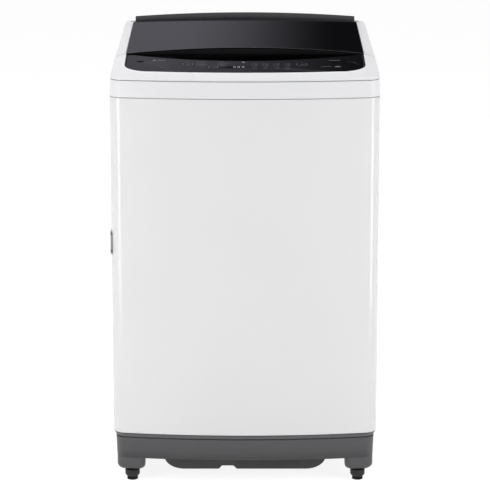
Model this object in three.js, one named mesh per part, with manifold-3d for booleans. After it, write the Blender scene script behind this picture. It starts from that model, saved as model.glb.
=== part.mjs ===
// Top load washing machine: a three.js scene graph of separate pieces, in millimetres.
// X runs to the right, Y to the back (the front faces -Y) and Z up from the floor.
// The origin is the centre of the footprint, on the floor.

import * as THREE from 'three';
import { mergeVertices } from 'three/addons/utils/BufferGeometryUtils.js';
import Module from 'manifold-3d';

const wasm = await Module();
wasm.setup();

// ---------------------------------------------------------------- driving dimensions

const GAP = 0.3; // clearance between two pieces that rest on each other
const FIT = 0.5; // clearance round a piece that drops into a cut-out

// Outer shape
const WIDTH = 540;
const DEPTH = 540;
const FRONT_BOW_RADIUS = 1500; // the front wall bows outwards on this radius
const FRONT_CORNER_RADIUS = 28;
const REAR_CORNER_RADIUS = 40;
const SHEET = 0.8; // painted steel sheet
const PLASTIC = 3; // wall of the large mouldings
const THIN_PLASTIC = 2.5; // wall of the small mouldings

// Heights, stacked from the floor up
const LEG_BOTTOM = 22;
const LEG_DROP = 28; // how far the legs reach below the base ring
const BASE_FACE = 47; // height of the base ring's main face
const SHOULDER_HEIGHT = 11;
const CABINET_HEIGHT = 692;
const SKIRT_HEIGHT = 35; // top cover below the control housing
const PANEL_RISE = 25; // from the skirt to the back of the control panel
const HOUSING_LIP = 3; // height of the housing at the very front
const DECK_RISE = 23; // from the front of the deck to its back
const BAND_RISE = 17; // crown of the hinge cover above the deck

const BASE_BOTTOM = LEG_BOTTOM + LEG_DROP;
const BASE_LEDGE = BASE_BOTTOM + BASE_FACE;
const CABINET_BOTTOM = BASE_LEDGE + SHOULDER_HEIGHT;
const CABINET_TOP = CABINET_BOTTOM + CABINET_HEIGHT;
const HOUSING_BOTTOM = CABINET_TOP + SKIRT_HEIGHT;
const DECK_FRONT_HEIGHT = HOUSING_BOTTOM + PANEL_RISE;
const DECK_REAR_HEIGHT = DECK_FRONT_HEIGHT + DECK_RISE;
const BAND_TOP = DECK_REAR_HEIGHT + BAND_RISE;

// Base and feet
const BASE_INSET = 5; // base face behind the cabinet face
const SHOULDER_INSET = 1; // head of the flared shoulder behind the cabinet face
const SHOULDER_STEP = 0.6;
const BASE_TAPER = 2; // draft of the base from ledge to underside
const TOP_INSET = 0.5; // draft of the skirt under the deck
const HEAD_INSET = 1; // draft of the control housing and the deck's sides
const FLANGE_WIDTH = 14; // folded rims of the cabinet
const LEG_SIZE = 65; // plan size of a leg block
const LEG_CORNER_RADIUS = 22;
const LEG_SOLE = [[0, 10], [4, 4], [11, 1]]; // rise and inset of the rounding under a leg
const FOOT_INSET_X = 38; // foot axis from the side wall
const FOOT_INSET_Y = 43; // foot axis from the front and back walls
const FOOT_PAD_RADIUS = 11;
const FOOT_PAD_HEIGHT = 7;
const FOOT_FLANGE_RADIUS = 15;
const FOOT_FLANGE_FLARE = 4; // height over which the flange widens
const FOOT_STUD_RADIUS = 6;
const FOOT_STUD_LENGTH = 40;
const TROUGH_SIDE_GAP = 104; // from the cabinet's side to the bottom trough
const TROUGH_END_GAP = 35;
const TROUGH_CORNER_WIDTH = 41; // the trough's sides curve up over this width
const TROUGH_NOTCH_X = -35.5;
const TROUGH_NOTCH_WIDTH = 37;
const TROUGH_NOTCH_HEIGHT = 7;

// Control panel
const PANEL_DEPTH = 193; // from the front wall to the seam with the top cover
const FASCIA_SIDE_BORDER = 30;
const FASCIA_FRONT_BORDER = 55;
const FASCIA_CORNER_RADIUS = 48;
const FASCIA_FRONT_SAG = 10;
const FASCIA_REAR_SAG = 51; // depth of the crescent between fascia and seam
const FASCIA_THICKNESS = 3;
const FASCIA_SEAT = 6; // width of the ledge that carries the fascia
const POCKET_DEPTH = 27;
const POCKET_REACH = 35; // how far the pocket runs under the lid
const POCKET_SLOPE = 14; // run of the pocket's front wall
const BOARD_DEPTH = 14; // top of the circuit board below the fascia surface
const BOARD_THICKNESS = 1.6;
const BOARD_HALF_WIDTH = 190;
const BOARD_SETBACK = 19; // from the fascia's front edge to the board
const BOARD_LENGTH = 56;
const BOARD_POST_RADIUS = 4;
const BOARD_POST_INSET = [12, 8];
const KEY_PROUD = 0.4;
const KEY_TRAVEL = 1;
const KEY_FLANGE = 1.2;
const KEY_STEM_RADIUS = 2.5;
const ROUND_KEY_RADIUS = 13;
const ROUND_KEY_X = 115;
const ROUND_KEY_SETBACK = 61; // from the fascia's front edge
const KEY_ROW_SETBACK = 40;
const PROGRAM_KEY_X = -63.5;
const PROGRAM_KEY_SIZE = [24, 18];
const PROGRAM_KEY_CORNER = 4;
const OPTION_KEY_SIZE = [17, 10];
const OPTION_KEY_CORNER = 3;
const OPTION_KEY_FIRST_X = 20;
const OPTION_KEY_PITCH = 22;
const OPTION_KEY_COUNT = 4;
const PLUG_INSET = 28; // from the fascia's side edge
const PLUG_SETBACK = 83;
const PLUG_RADII = [7.5, 5];
const PLUG_SUNK = 0.6;

// Hinge cover and lid
const BAND_THICKNESS = 9;
const BAND_SETBACK = 1; // hinge cover from the back wall
const BAND_SIDE_BORDER = 32;
const BAND_SAG = 10; // fall of the hinge cover's top from its middle to its ends
const LID_TO_BAND = 16; // running gap behind the lid
const HINGE_INSET = 4; // hinge axis in front of the lid's rear edge
const HINGE_DEPTH = 9; // hinge axis below the deck
const HINGE_PIN_RADIUS = 4;
const HINGE_BOSS_RADIUS = 6;
const HINGE_ROOT = 13; // how far the hinge bosses run into the lid frame
const CHANNEL_LENGTH = 8; // deeper channel in front of the hinge axis
const CHANNEL_DEPTH = 24;
const TRAY_SIDE_BORDER = 23; // white deck beside the recess for the lid
const TRAY_DEPTH = 15.3;
const LID_SIDE_GAP = 2;
const LID_FRONT_SAG = 27; // how far the front edge curves back at its middle
const LID_CORNER_RADIUS = 10;
const LID_CROWN = 6.5; // rise of the lid from its sides to its middle
const LID_PROUD = 2; // lid surface above the deck at the sides
const GLASS_THICKNESS = 4;
const LID_FRAME_INSET = 5;
const LID_WINDOW_MARGIN = 38;
const LID_WINDOW_RADIUS = 30;
const LID_CLEARANCE = 1; // pocket walls below the lid frame

// Mouth and detergent drawer
const MOUTH_SIDE_BORDER = 72;
const MOUTH_FRONT_GAP = 6; // from the pocket's back to the mouth
const MOUTH_REAR_GAP = 62; // from the hinge channel to the mouth
const MOUTH_ROUNDING = 0.388; // corner radius as a share of the mouth's length
const COLLAR_GAP = 12; // splash collar and drawer above the cabinet's rim
const DRAWER_HALF_WIDTH = 68;
const DRAWER_HEIGHT = 34;
const DRAWER_LENGTH = 62;
const DRAWER_WALL = 2;
const DRAWER_FACE = 3;
const DRAWER_LIP = 4; // drawer face above its cells
const DRAWER_DIVIDER_X = 8;
const HANGER_SIZE = [8, 20];

// Tub and basket
const TUB_Y = 12; // axis of the tub, a little behind the middle
const TUB_SIDE_GAP = 38;
const TUB_REAR_GAP = 26;
const TUB_WALL = 2.5;
const TUB_CORNER = 24; // bevel at the foot of the tub
const TUB_RIM = 6;
const NECK_HEIGHT = 14; // clutch neck inside the tub
const TUB_BOTTOM = 300;
const TUB_BELOW_RIM = 25; // tub rim below the cabinet's rim
const TUB_COVER_HEIGHT = 15;
const COVER_LAP = 4; // tub cover beyond the tub wall
const COVER_SKIN = 4;
const COVER_SLOPE = 40; // width of the cover's sloping shoulder
const LUG_WIDTH = 44;
const LUG_HEIGHT = 14;
const LUG_BOTTOM = 415;
const LUG_RIB = [34, 5, 30];
const BASKET_GAP = 20; // between tub and basket walls
const BASKET_WALL = 1;
const BASKET_CORNER = 26;
const BASKET_ABOVE_TUB = 62; // basket floor above the tub floor
const BASKET_BELOW_RIM = 33; // basket rim below the tub rim
const RING_HEIGHT = 38;
const RING_WIDTH = 40;
const RING_LAP = 20; // how far the ring reaches down over the basket's rim
const RING_PROUD = 4;
const RING_EDGE = 6;
const HUB_RADIUS = 70;
const HUB_THICKNESS = 8;
const HUB_FLARE = 18;
const SPIN_TUBE_RADIUS = 12;
const SPIN_TUBE_LENGTH = 125;
const PULSATOR_GAP = 47; // between pulsator and basket wall
const PULSATOR_LIFT = 4; // pulsator above the basket floor
const PULSATOR_HEIGHT = 32;
const PULSATOR_RIM = 14;
const FIN_RADII = [6, 12];
const FIN_GAPS = [2, 16]; // from the cap and from the rim
const FIN_LIFT = 5; // underside of the fins above the disc's underside
const PULSATOR_FIN_COUNT = 4;
const PULSATOR_CAP_RADIUS = 22;
const SHAFT_RADIUS = 6;
const SHAFT_CLEARANCE = 0.5;
const FILTER_WIDTH = 64;
const FILTER_HEIGHT = 150;
const FILTER_DEPTH = 14;
const FILTER_LIFT = 138; // filter above the basket floor

// Drive
const CLUTCH_RADIUS = 60;
const CLUTCH_LENGTH = 99;
const CLUTCH_FLANGE = 8;
const CLUTCH_NECK_RADIUS = 24;
const SHOULDER_CONE = 22; // height of the clutch housing's lower cone
const SHAFT_SEAT = 10; // pulley shaft inside the clutch
const MOTOR_OFFSET = 132; // motor axis behind the tub axis
const MOTOR_RADIUS = 55;
const MOTOR_STAND = 19; // neck between the motor and the drive plate
const MOTOR_CAP = 11;
const DRIVE_PLATE_THICKNESS = 4;
const DRIVE_PLATE_HALF_WIDTH = 95;
const DRIVE_PLATE_MARGIN = 10; // plate beyond the clutch and the motor
const PULLEY_RADIUS = 80;
const MOTOR_PULLEY_RADIUS = 22;
const PULLEY_DROP = 32; // underside of the pulleys below the clutch
const PULLEY_WIDTH = 18;
const BELT_THICKNESS = 6;
const BELT_WIDTH = 10;
const DRAIN_VALVE_X = -85;
const DRAIN_VALVE_OFFSET_Y = 100; // valve in front of the tub axis
const VALVE_WALL = 10;
const VALVE_HEIGHT = 42;
const ACTUATOR_SIZE = [60, 36, 32];

// Suspension
const ROD_SIDE_GAP = 45; // rod axis from the side wall
const ROD_END_GAP = 55; // rods from the front and back walls, measured about the tub axis
const ROD_RADIUS = 4;
const ROD_HOLE_CLEARANCE = 2;
const ROD_CUP_RADIUS = 20;
const ROD_CUP_HEIGHT = 13;
const ROD_HEAD_RADIUS = 13;
const ROD_HEAD_HEIGHT = 10;
const GUSSET_BELOW_RIM = 32;
const GUSSET_THICKNESS = 2;
const GUSSET_MARGIN = 22; // plate beyond the rod on the side of the tub
const SPRING_RADIUS = 15;
const SPRING_WIRE = 2.2;
const SPRING_TURNS = 5;
const SPRING_LENGTH = 77;

// Back
const BACK_OPENING_SIDE = 65;
const BACK_OPENING_SILL = 27; // above the cabinet's bottom rim
const BACK_OPENING_HEAD = 46; // below the cabinet's top rim
const BACK_COVER_LAP = 10;
const BACK_COVER_BORDER = 60; // flat border round the pressed pan
const BACK_COVER_PRESSING = 6;
const INLET_RADIUS = 13.2; // three-quarter-inch hose thread
const INLET_BORE = 9;
const INLET_LIFT = 26; // inlets above the cabinet's rim
const SPIGOT_PROUD = 6;
const INLET_SIDE_GAP = 80; // cold inlet and mains gland from the side walls
const INLET_PITCH = 60;
const VALVE_SIZE = [38, 56, 36];
const VALVE_COIL = 8;
const GLAND_RADIUS = 12;
const GLAND_COLLAR = 5;
const GLAND_BORE = 4;
const DRAIN_SIDE_GAP = 88;
const DRAIN_LIFT = 57; // drain above the cabinet's bottom rim
const DRAIN_RADIUS = 15;
const DRAIN_BORE = 12;
const DRAIN_FLANGE = 8;
const DRAIN_LENGTH = 40;

// Side grip, on the left only
const GRIP_SETBACK = 75;
const GRIP_LENGTH = 92;
const GRIP_HEIGHT = 48;
const GRIP_BELOW_RIM = 300;
const GRIP_RIM = 9;
const GRIP_PROUD = 2.3;
const GRIP_DEPTH = 22;

// Facets
const ROUND = 32; // round the tub and basket
const MID_ROUND = 20; // round the drive pieces
const SMALL_ROUND = 12; // round small turned pieces
const SPIGOT_ROUND = 16; // round hose spigots and their holes
const FRONT_STEPS = 12;
const CORNER_STEPS = 5;

// ---------------------------------------------------------------- places that follow from these

const SIDE = WIDTH / 2;
const FRONT = -DEPTH / 2;
const BACK = DEPTH / 2;
const LID_FRONT = FRONT + PANEL_DEPTH; // the top cover meets the control housing here
const FASCIA_HALF_WIDTH = SIDE - FASCIA_SIDE_BORDER;
const FASCIA_FRONT = FRONT + FASCIA_FRONT_BORDER;
const ROUND_KEY_Y = FASCIA_FRONT + ROUND_KEY_SETBACK;
const KEY_ROW_Y = FASCIA_FRONT + KEY_ROW_SETBACK;
const PLUG_X = FASCIA_HALF_WIDTH - PLUG_INSET;
const PLUG_Y = FASCIA_FRONT + PLUG_SETBACK;
const BOARD_FRONT = FASCIA_FRONT + BOARD_SETBACK;
const BOARD_REAR = BOARD_FRONT + BOARD_LENGTH;
const POCKET_REAR = LID_FRONT + POCKET_REACH;
const BAND_FRONT = BACK - BAND_SETBACK - BAND_THICKNESS;
const BAND_HALF_WIDTH = SIDE - BAND_SIDE_BORDER;
const LID_REAR = BAND_FRONT - LID_TO_BAND;
const HINGE_Y = LID_REAR - HINGE_INSET;
const CHANNEL_FRONT = HINGE_Y - CHANNEL_LENGTH;
const TRAY_HALF_WIDTH = SIDE - TRAY_SIDE_BORDER;
const LID_HALF_WIDTH = TRAY_HALF_WIDTH - LID_SIDE_GAP;
const LID_PIN_X = TRAY_HALF_WIDTH + PLASTIC; // ends of the hinge pins
const MOUTH_HALF_WIDTH = SIDE - MOUTH_SIDE_BORDER;
const MOUTH_FRONT = POCKET_REAR + MOUTH_FRONT_GAP;
const MOUTH_REAR = CHANNEL_FRONT - MOUTH_REAR_GAP;
const MOUTH_CORNER_RADIUS = MOUTH_ROUNDING * (MOUTH_REAR - MOUTH_FRONT);
const COLLAR_BOTTOM = CABINET_TOP + COLLAR_GAP;
const DRAWER_BOTTOM = COLLAR_BOTTOM;
const TROUGH_HALF_WIDTH = SIDE - TROUGH_SIDE_GAP;
const TROUGH_HALF_LENGTH = BACK - TROUGH_END_GAP;

const TUB_RADIUS = Math.min(SIDE - TUB_SIDE_GAP, BACK - TUB_Y - TUB_REAR_GAP);
const TUB_TOP = CABINET_TOP - TUB_BELOW_RIM;
const TUB_COVER_RADIUS = TUB_RADIUS + COVER_LAP;
const BASKET_RADIUS = TUB_RADIUS - BASKET_GAP;
const BASKET_BOTTOM = TUB_BOTTOM + BASKET_ABOVE_TUB;
const BASKET_TOP = TUB_TOP - BASKET_BELOW_RIM;
const RING_INNER_RADIUS = BASKET_RADIUS - RING_WIDTH;
const RING_RADIUS = BASKET_RADIUS + RING_PROUD;
const TUB_COVER_MOUTH = RING_INNER_RADIUS + COVER_LAP;
const PULSATOR_RADIUS = BASKET_RADIUS - PULSATOR_GAP;
const PULSATOR_BOTTOM = BASKET_BOTTOM + BASKET_WALL + PULSATOR_LIFT + GAP;
const PULSATOR_TOP = PULSATOR_BOTTOM + PULSATOR_HEIGHT;
const SPIN_TUBE_BOTTOM = BASKET_BOTTOM - GAP - SPIN_TUBE_LENGTH;
const FILTER_BOTTOM = BASKET_BOTTOM + FILTER_LIFT;
const DRIVE_PLATE_TOP = TUB_BOTTOM - GAP;
const DRIVE_PLATE_BOTTOM = DRIVE_PLATE_TOP - DRIVE_PLATE_THICKNESS;
const CLUTCH_TOP = DRIVE_PLATE_BOTTOM - GAP;
const CLUTCH_BOTTOM = CLUTCH_TOP - CLUTCH_LENGTH;
const MOTOR_Y = TUB_Y + MOTOR_OFFSET;
const MOTOR_TOP = CLUTCH_TOP - MOTOR_STAND;
const MOTOR_BOTTOM = CLUTCH_BOTTOM;
const PULLEY_BOTTOM = CLUTCH_BOTTOM - PULLEY_DROP;
const PULLEY_MIDDLE = PULLEY_BOTTOM + PULLEY_WIDTH / 2;
const DRAIN_VALVE_Y = TUB_Y - DRAIN_VALVE_OFFSET_Y;

const ROD_X = SIDE - ROD_SIDE_GAP;
const ROD_OFFSET_Y = BACK - ROD_END_GAP;
const GUSSET_HEIGHT = CABINET_TOP - GUSSET_BELOW_RIM;
const GUSSET_TOP = GUSSET_HEIGHT + GUSSET_THICKNESS;
const SPRING_BOTTOM = LUG_BOTTOM - SPRING_LENGTH;
const ROD_BOTTOM = SPRING_BOTTOM - ROD_CUP_HEIGHT;
const BACK_INNER = BACK - SHEET; // inner face of the cabinet's back flange
const BACK_OPENING_HALF_WIDTH = SIDE - BACK_OPENING_SIDE;
const BACK_OPENING_BOTTOM = CABINET_BOTTOM + BACK_OPENING_SILL;
const BACK_OPENING_TOP = CABINET_TOP - BACK_OPENING_HEAD;
const INLET_HEIGHT = CABINET_TOP + INLET_LIFT;
const COLD_INLET_X = INLET_SIDE_GAP - SIDE;
const HOT_INLET_X = COLD_INLET_X + INLET_PITCH;
const INLETS = [COLD_INLET_X, HOT_INLET_X];
const GLAND_X = SIDE - INLET_SIDE_GAP;
const DRAIN_X = DRAIN_SIDE_GAP - SIDE;
const DRAIN_HEIGHT = CABINET_BOTTOM + DRAIN_LIFT;
const GRIP_Y = FRONT + GRIP_SETBACK;
const GRIP_CENTRE = CABINET_TOP - GRIP_BELOW_RIM;

const FAR = WIDTH + DEPTH; // beyond the outside of the machine

// ---------------------------------------------------------------- solids

// A closed geometry as a solid that can be joined and cut.
function solidOf(geometry) {
  const bare = geometry.index ? geometry.toNonIndexed() : geometry.clone();
  bare.deleteAttribute('normal');
  bare.deleteAttribute('uv');
  const merged = mergeVertices(bare, 1e-4);
  const corners = merged.index.array;
  const kept = [];
  for (let i = 0; i < corners.length; i += 3) {
    const [a, b, c] = [corners[i], corners[i + 1], corners[i + 2]];
    if (a !== b && b !== c && c !== a) kept.push(a, b, c);
  }
  return new wasm.Manifold(new wasm.Mesh({
    numProp: 3,
    vertProperties: new Float32Array(merged.attributes.position.array),
    triVerts: new Uint32Array(kept),
  }));
}

// A solid as a geometry that a mesh can hold.
function geometryOf(solid) {
  const { vertProperties, triVerts } = solid.getMesh();
  const geometry = new THREE.BufferGeometry();
  geometry.setAttribute('position', new THREE.BufferAttribute(vertProperties, 3));
  geometry.setIndex(new THREE.BufferAttribute(triVerts, 1));
  return geometry;
}

const join = (...solids) => solids.reduce((whole, next) => whole.add(next));
const cut = (solid, ...tools) => tools.reduce((left, tool) => left.subtract(tool), solid);
const common = (...solids) => solids.reduce((left, next) => left.intersect(next));
const ordered = (a, b) => [Math.min(a, b), Math.max(a, b)];

function moved(solid, matrix) {
  return solidOf(geometryOf(solid).applyMatrix4(matrix));
}

function box(x0, x1, y0, y1, z0, z1) {
  const geometry = new THREE.BoxGeometry(x1 - x0, y1 - y0, z1 - z0);
  return solidOf(geometry.translate((x0 + x1) / 2, (y0 + y1) / 2, (z0 + z1) / 2));
}

function arc(x, y, radius, from, to, steps, radiusY = radius) {
  return Array.from({ length: steps + 1 }, (_, i) => {
    const angle = from + ((to - from) * i) / steps;
    return new THREE.Vector2(x + radius * Math.cos(angle), y + radiusY * Math.sin(angle));
  });
}

// An outline in plan raised from z0 to z1; curved THREE.Shape parts take `steps` facets.
function prism(outline, z0, z1, steps = 6) {
  const shape = Array.isArray(outline) ? new THREE.Shape(outline) : outline;
  const options = { depth: z1 - z0, bevelEnabled: false, curveSegments: steps };
  return solidOf(new THREE.ExtrudeGeometry(shape, options).translate(0, 0, z0));
}

// An outline in X and Z carried along Y from y0 to y1.
function sweepY(outline, y0, y1) {
  const options = { depth: y1 - y0, bevelEnabled: false };
  const geometry = new THREE.ExtrudeGeometry(new THREE.Shape(outline), options);
  return solidOf(geometry.rotateX(Math.PI / 2).translate(0, y1, 0));
}

function rodZ(radius, z0, z1, x = 0, y = 0, facets = SMALL_ROUND) {
  const geometry = new THREE.CylinderGeometry(radius, radius, z1 - z0, facets);
  return solidOf(geometry.rotateX(Math.PI / 2).translate(x, y, (z0 + z1) / 2));
}

function rodY(radius, y0, y1, x, z, facets = SMALL_ROUND) {
  const geometry = new THREE.CylinderGeometry(radius, radius, y1 - y0, facets);
  return solidOf(geometry.translate(x, (y0 + y1) / 2, z));
}

function rodX(radius, x0, x1, y, z, facets = SMALL_ROUND) {
  const geometry = new THREE.CylinderGeometry(radius, radius, x1 - x0, facets);
  return solidOf(geometry.rotateZ(Math.PI / 2).translate((x0 + x1) / 2, y, z));
}

// A profile of [radius, height] pairs, anticlockwise, turned about a vertical axis.
// A profile that leaves the axis free closes on itself.
function turned(profile, x = 0, y = 0, facets = ROUND) {
  const points = profile.map(([radius, height]) => new THREE.Vector2(radius, height));
  const closesOnAxis = points[0].x === 0 && points[points.length - 1].x === 0;
  if (!closesOnAxis) points.push(points[0].clone());
  const geometry = new THREE.LatheGeometry(points, facets);
  return solidOf(geometry.rotateX(Math.PI / 2).translate(x, y, 0));
}

function roundedRectangle(x0, x1, y0, y1, radius, steps = 5) {
  const quarter = Math.PI / 2;
  return [
    ...arc(x1 - radius, y0 + radius, radius, -quarter, 0, steps),
    ...arc(x1 - radius, y1 - radius, radius, 0, quarter, steps),
    ...arc(x0 + radius, y1 - radius, radius, quarter, 2 * quarter, steps),
    ...arc(x0 + radius, y0 + radius, radius, 2 * quarter, 3 * quarter, steps),
  ];
}

// ---------------------------------------------------------------- shared outlines

// The plan outline of the machine, moved in by `inset`: a bowed front, rounded corners,
// straight sides and back. Every inset gives the same number of points.
function footprint(inset) {
  const bowCentre = FRONT + FRONT_BOW_RADIUS;
  const cornerX = SIDE - FRONT_CORNER_RADIUS;
  const reach = FRONT_BOW_RADIUS - FRONT_CORNER_RADIUS;
  const swing = Math.asin(cornerX / reach);
  const cornerY = bowCentre - reach * Math.cos(swing);
  const rearX = SIDE - REAR_CORNER_RADIUS;
  const rearY = BACK - REAR_CORNER_RADIUS;
  const quarter = Math.PI / 2;
  const frontRadius = FRONT_CORNER_RADIUS - inset;
  const rearRadius = REAR_CORNER_RADIUS - inset;
  const bow = arc(0, bowCentre, FRONT_BOW_RADIUS - inset, -quarter - swing, -quarter + swing, FRONT_STEPS);
  const right = arc(cornerX, cornerY, frontRadius, -quarter + swing, 0, CORNER_STEPS).slice(1);
  const left = arc(-cornerX, cornerY, frontRadius, 2 * quarter, 3 * quarter - swing, CORNER_STEPS)
    .slice(0, -1);
  return [
    ...bow,
    ...right,
    ...arc(rearX, rearY, rearRadius, 0, quarter, CORNER_STEPS),
    ...arc(-rearX, rearY, rearRadius, quarter, 2 * quarter, CORNER_STEPS),
    ...left,
  ];
}

// A closed solid through the footprint at several [height, inset] levels, bottom first.
function stack(levels) {
  const outlines = levels.map(([, inset]) => footprint(inset));
  const count = outlines[0].length;
  const positions = outlines.flatMap(
    (outline, level) => outline.flatMap((point) => [point.x, point.y, levels[level][0]]));
  const faces = [];
  for (let level = 0; level + 1 < levels.length; level += 1) {
    for (let i = 0; i < count; i += 1) {
      const [a, b] = [level * count + i, level * count + ((i + 1) % count)];
      faces.push(a, b, b + count, a, b + count, a + count);
    }
  }
  const top = (levels.length - 1) * count;
  for (const [a, b, c] of THREE.ShapeUtils.triangulateShape(outlines[0], [])) {
    faces.push(a, c, b, top + a, top + b, top + c);
  }
  const geometry = new THREE.BufferGeometry();
  geometry.setAttribute('position', new THREE.Float32BufferAttribute(positions, 3));
  geometry.setIndex(faces);
  return solidOf(geometry);
}

const column = (inset, z0, z1) => stack([[z0, inset], [z1, inset]]);

// The deck and the control panel are two planes that meet above the housing seam.
// Pieces on them are drawn about height 0 and then leaned onto their plane.
const DECK_SLOPE = DECK_RISE / (BACK - LID_FRONT);
const PANEL_SLOPE = (PANEL_RISE - HOUSING_LIP) / PANEL_DEPTH;
const deckHeight = (y) => DECK_FRONT_HEIGHT + DECK_SLOPE * (y - LID_FRONT);
const HINGE_Z = deckHeight(HINGE_Y) - HINGE_DEPTH;

function leaned(solid, slope) {
  const lift = DECK_FRONT_HEIGHT - slope * LID_FRONT;
  const lean = new THREE.Matrix4().set(1, 0, 0, 0, 0, 1, 0, 0, 0, slope, 1, lift, 0, 0, 0, 1);
  return moved(solid, lean);
}
const onDeck = (solid) => leaned(solid, DECK_SLOPE);
const onPanel = (solid) => leaned(solid, PANEL_SLOPE);

// Everything between two heights, and everything under either plane less `drop`.
const layer = (z0, z1) => box(-FAR, FAR, -FAR, FAR, z0, z1);
const underDeck = (drop = 0) => onDeck(layer(-CABINET_HEIGHT, -drop));
const underPanel = (drop = 0) => onPanel(layer(-CABINET_HEIGHT, -drop));

// The chord's arc: the radius that gives `sag` over a half chord.
const arcRadius = (halfChord, sag) => (halfChord ** 2 + sag ** 2) / (2 * sag);

// Points of an arc through (-half, y) and (half, y) whose middle is at y + sag, left to right.
function bowed(half, y, sag, steps = 12) {
  return Array.from({ length: steps + 1 }, (_, i) => {
    const x = half * ((2 * i) / steps - 1);
    const radius = arcRadius(half, Math.abs(sag));
    const rise = Math.sqrt(radius ** 2 - x ** 2) - (radius - Math.abs(sag));
    return new THREE.Vector2(x, y + Math.sign(sag) * rise);
  });
}

// The lid in plan, moved in by `inset`; its front edge curves back at the middle.
function lidOutline(inset) {
  const half = LID_HALF_WIDTH - inset;
  const radius = LID_CORNER_RADIUS;
  const quarter = Math.PI / 2;
  return [
    ...bowed(half, LID_FRONT + inset, LID_FRONT_SAG),
    ...arc(half - radius, LID_REAR - inset - radius, radius, 0, quarter, 3),
    ...arc(-half + radius, LID_REAR - inset - radius, radius, quarter, 2 * quarter, 3),
  ];
}

// The front and sides of the fascia in plan, grown by `extra`, closed by `rear` from right to left.
function panelOutline(extra, rear) {
  const half = FASCIA_HALF_WIDTH + extra;
  const radius = FASCIA_CORNER_RADIUS + extra;
  const front = FASCIA_FRONT + FASCIA_FRONT_SAG - extra;
  const quarter = Math.PI / 2;
  const edge = bowed(half - radius, front, -FASCIA_FRONT_SAG, 8);
  return [
    ...edge,
    ...arc(half - radius, front + radius, radius, -quarter, 0, 5).slice(1),
    ...rear,
    ...arc(-half + radius, front + radius, radius, 2 * quarter, 3 * quarter, 5).slice(0, -1),
  ];
}

// The fascia itself: its rear edge is the front of the finger pocket.
const fasciaOutline = (extra) => panelOutline(extra,
  bowed(FASCIA_HALF_WIDTH + extra, LID_FRONT - GAP, -FASCIA_REAR_SAG - GAP).reverse());

// The recess for the fascia and the pocket behind it, straight across at the back.
const seatOutline = () => panelOutline(FIT, [
  new THREE.Vector2(FASCIA_HALF_WIDTH + FIT, LID_FRONT + FIT),
  new THREE.Vector2(-FASCIA_HALF_WIDTH - FIT, LID_FRONT + FIT),
]);

// The finger pocket in plan, moved in by `inset`: a crescent with a straight back.
function pocketOutline(inset) {
  const half = FASCIA_HALF_WIDTH - inset;
  return [
    ...bowed(half, LID_FRONT, -FASCIA_REAR_SAG + inset),
    new THREE.Vector2(half, POCKET_REAR - inset),
    new THREE.Vector2(-half, POCKET_REAR - inset),
  ];
}

function ellipseOutline(x, y, rx, ry, steps = 12) {
  return Array.from({ length: steps }, (_, i) => {
    const angle = (2 * Math.PI * i) / steps;
    return new THREE.Vector2(x + rx * Math.cos(angle), y + ry * Math.sin(angle));
  });
}

const mouthOutline = (grow) => roundedRectangle(
  -MOUTH_HALF_WIDTH - grow, MOUTH_HALF_WIDTH + grow, MOUTH_FRONT - grow, MOUTH_REAR + grow,
  MOUTH_CORNER_RADIUS + grow, 5,
);

const CORNERS = [
  { name: 'front_left', sx: -1, sy: -1 },
  { name: 'front_right', sx: 1, sy: -1 },
  { name: 'rear_left', sx: -1, sy: 1 },
  { name: 'rear_right', sx: 1, sy: 1 },
];
const rodPlace = ({ sx, sy }) => [sx * ROD_X, TUB_Y + sy * ROD_OFFSET_Y];
const footPlace = ({ sx, sy }) => [sx * (SIDE - FOOT_INSET_X), sy * (BACK - FOOT_INSET_Y)];

// ---------------------------------------------------------------- cabinet and base

// The plate across one corner that a suspension rod hangs from.
function gusset(corner) {
  const [rodX0, rodY0] = rodPlace(corner);
  const turn = Math.atan2(corner.sy, corner.sx);
  const plate = new THREE.BoxGeometry(FAR, FAR, GUSSET_THICKNESS)
    .translate(FAR / 2 - GUSSET_MARGIN, 0, GUSSET_HEIGHT + GUSSET_THICKNESS / 2)
    .rotateZ(turn)
    .translate(rodX0, rodY0, 0);
  const [low, high] = [GUSSET_HEIGHT - 1, GUSSET_TOP + 1];
  const hole = rodZ(ROD_RADIUS + ROD_HOLE_CLEARANCE, low, high, rodX0, rodY0);
  return cut(common(solidOf(plate), column(SHEET / 2, low, high)), hole);
}

function cabinet() {
  const [low, high] = [CABINET_BOTTOM + GAP, CABINET_TOP - GAP];
  const rim = (z0) => cut(column(SHEET / 2, z0, z0 + SHEET), column(FLANGE_WIDTH, z0 - 1, z0 + 2));
  const wall = cut(column(0, low, high), column(SHEET, low - 1, high + 1));
  const opening = box(-BACK_OPENING_HALF_WIDTH, BACK_OPENING_HALF_WIDTH, BACK / 2, FAR,
    BACK_OPENING_BOTTOM, BACK_OPENING_TOP);
  const [halfLength, halfHeight] = [GRIP_LENGTH / 2 - GRIP_RIM, GRIP_HEIGHT / 2 - GRIP_RIM];
  const gripHole = box(-FAR, -SIDE / 2, GRIP_Y - halfLength, GRIP_Y + halfLength, GRIP_CENTRE - halfHeight,
    GRIP_CENTRE + halfHeight);
  return cut(join(wall, rim(low), rim(high - SHEET), ...CORNERS.map(gusset)), opening, gripHole);
}

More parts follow.
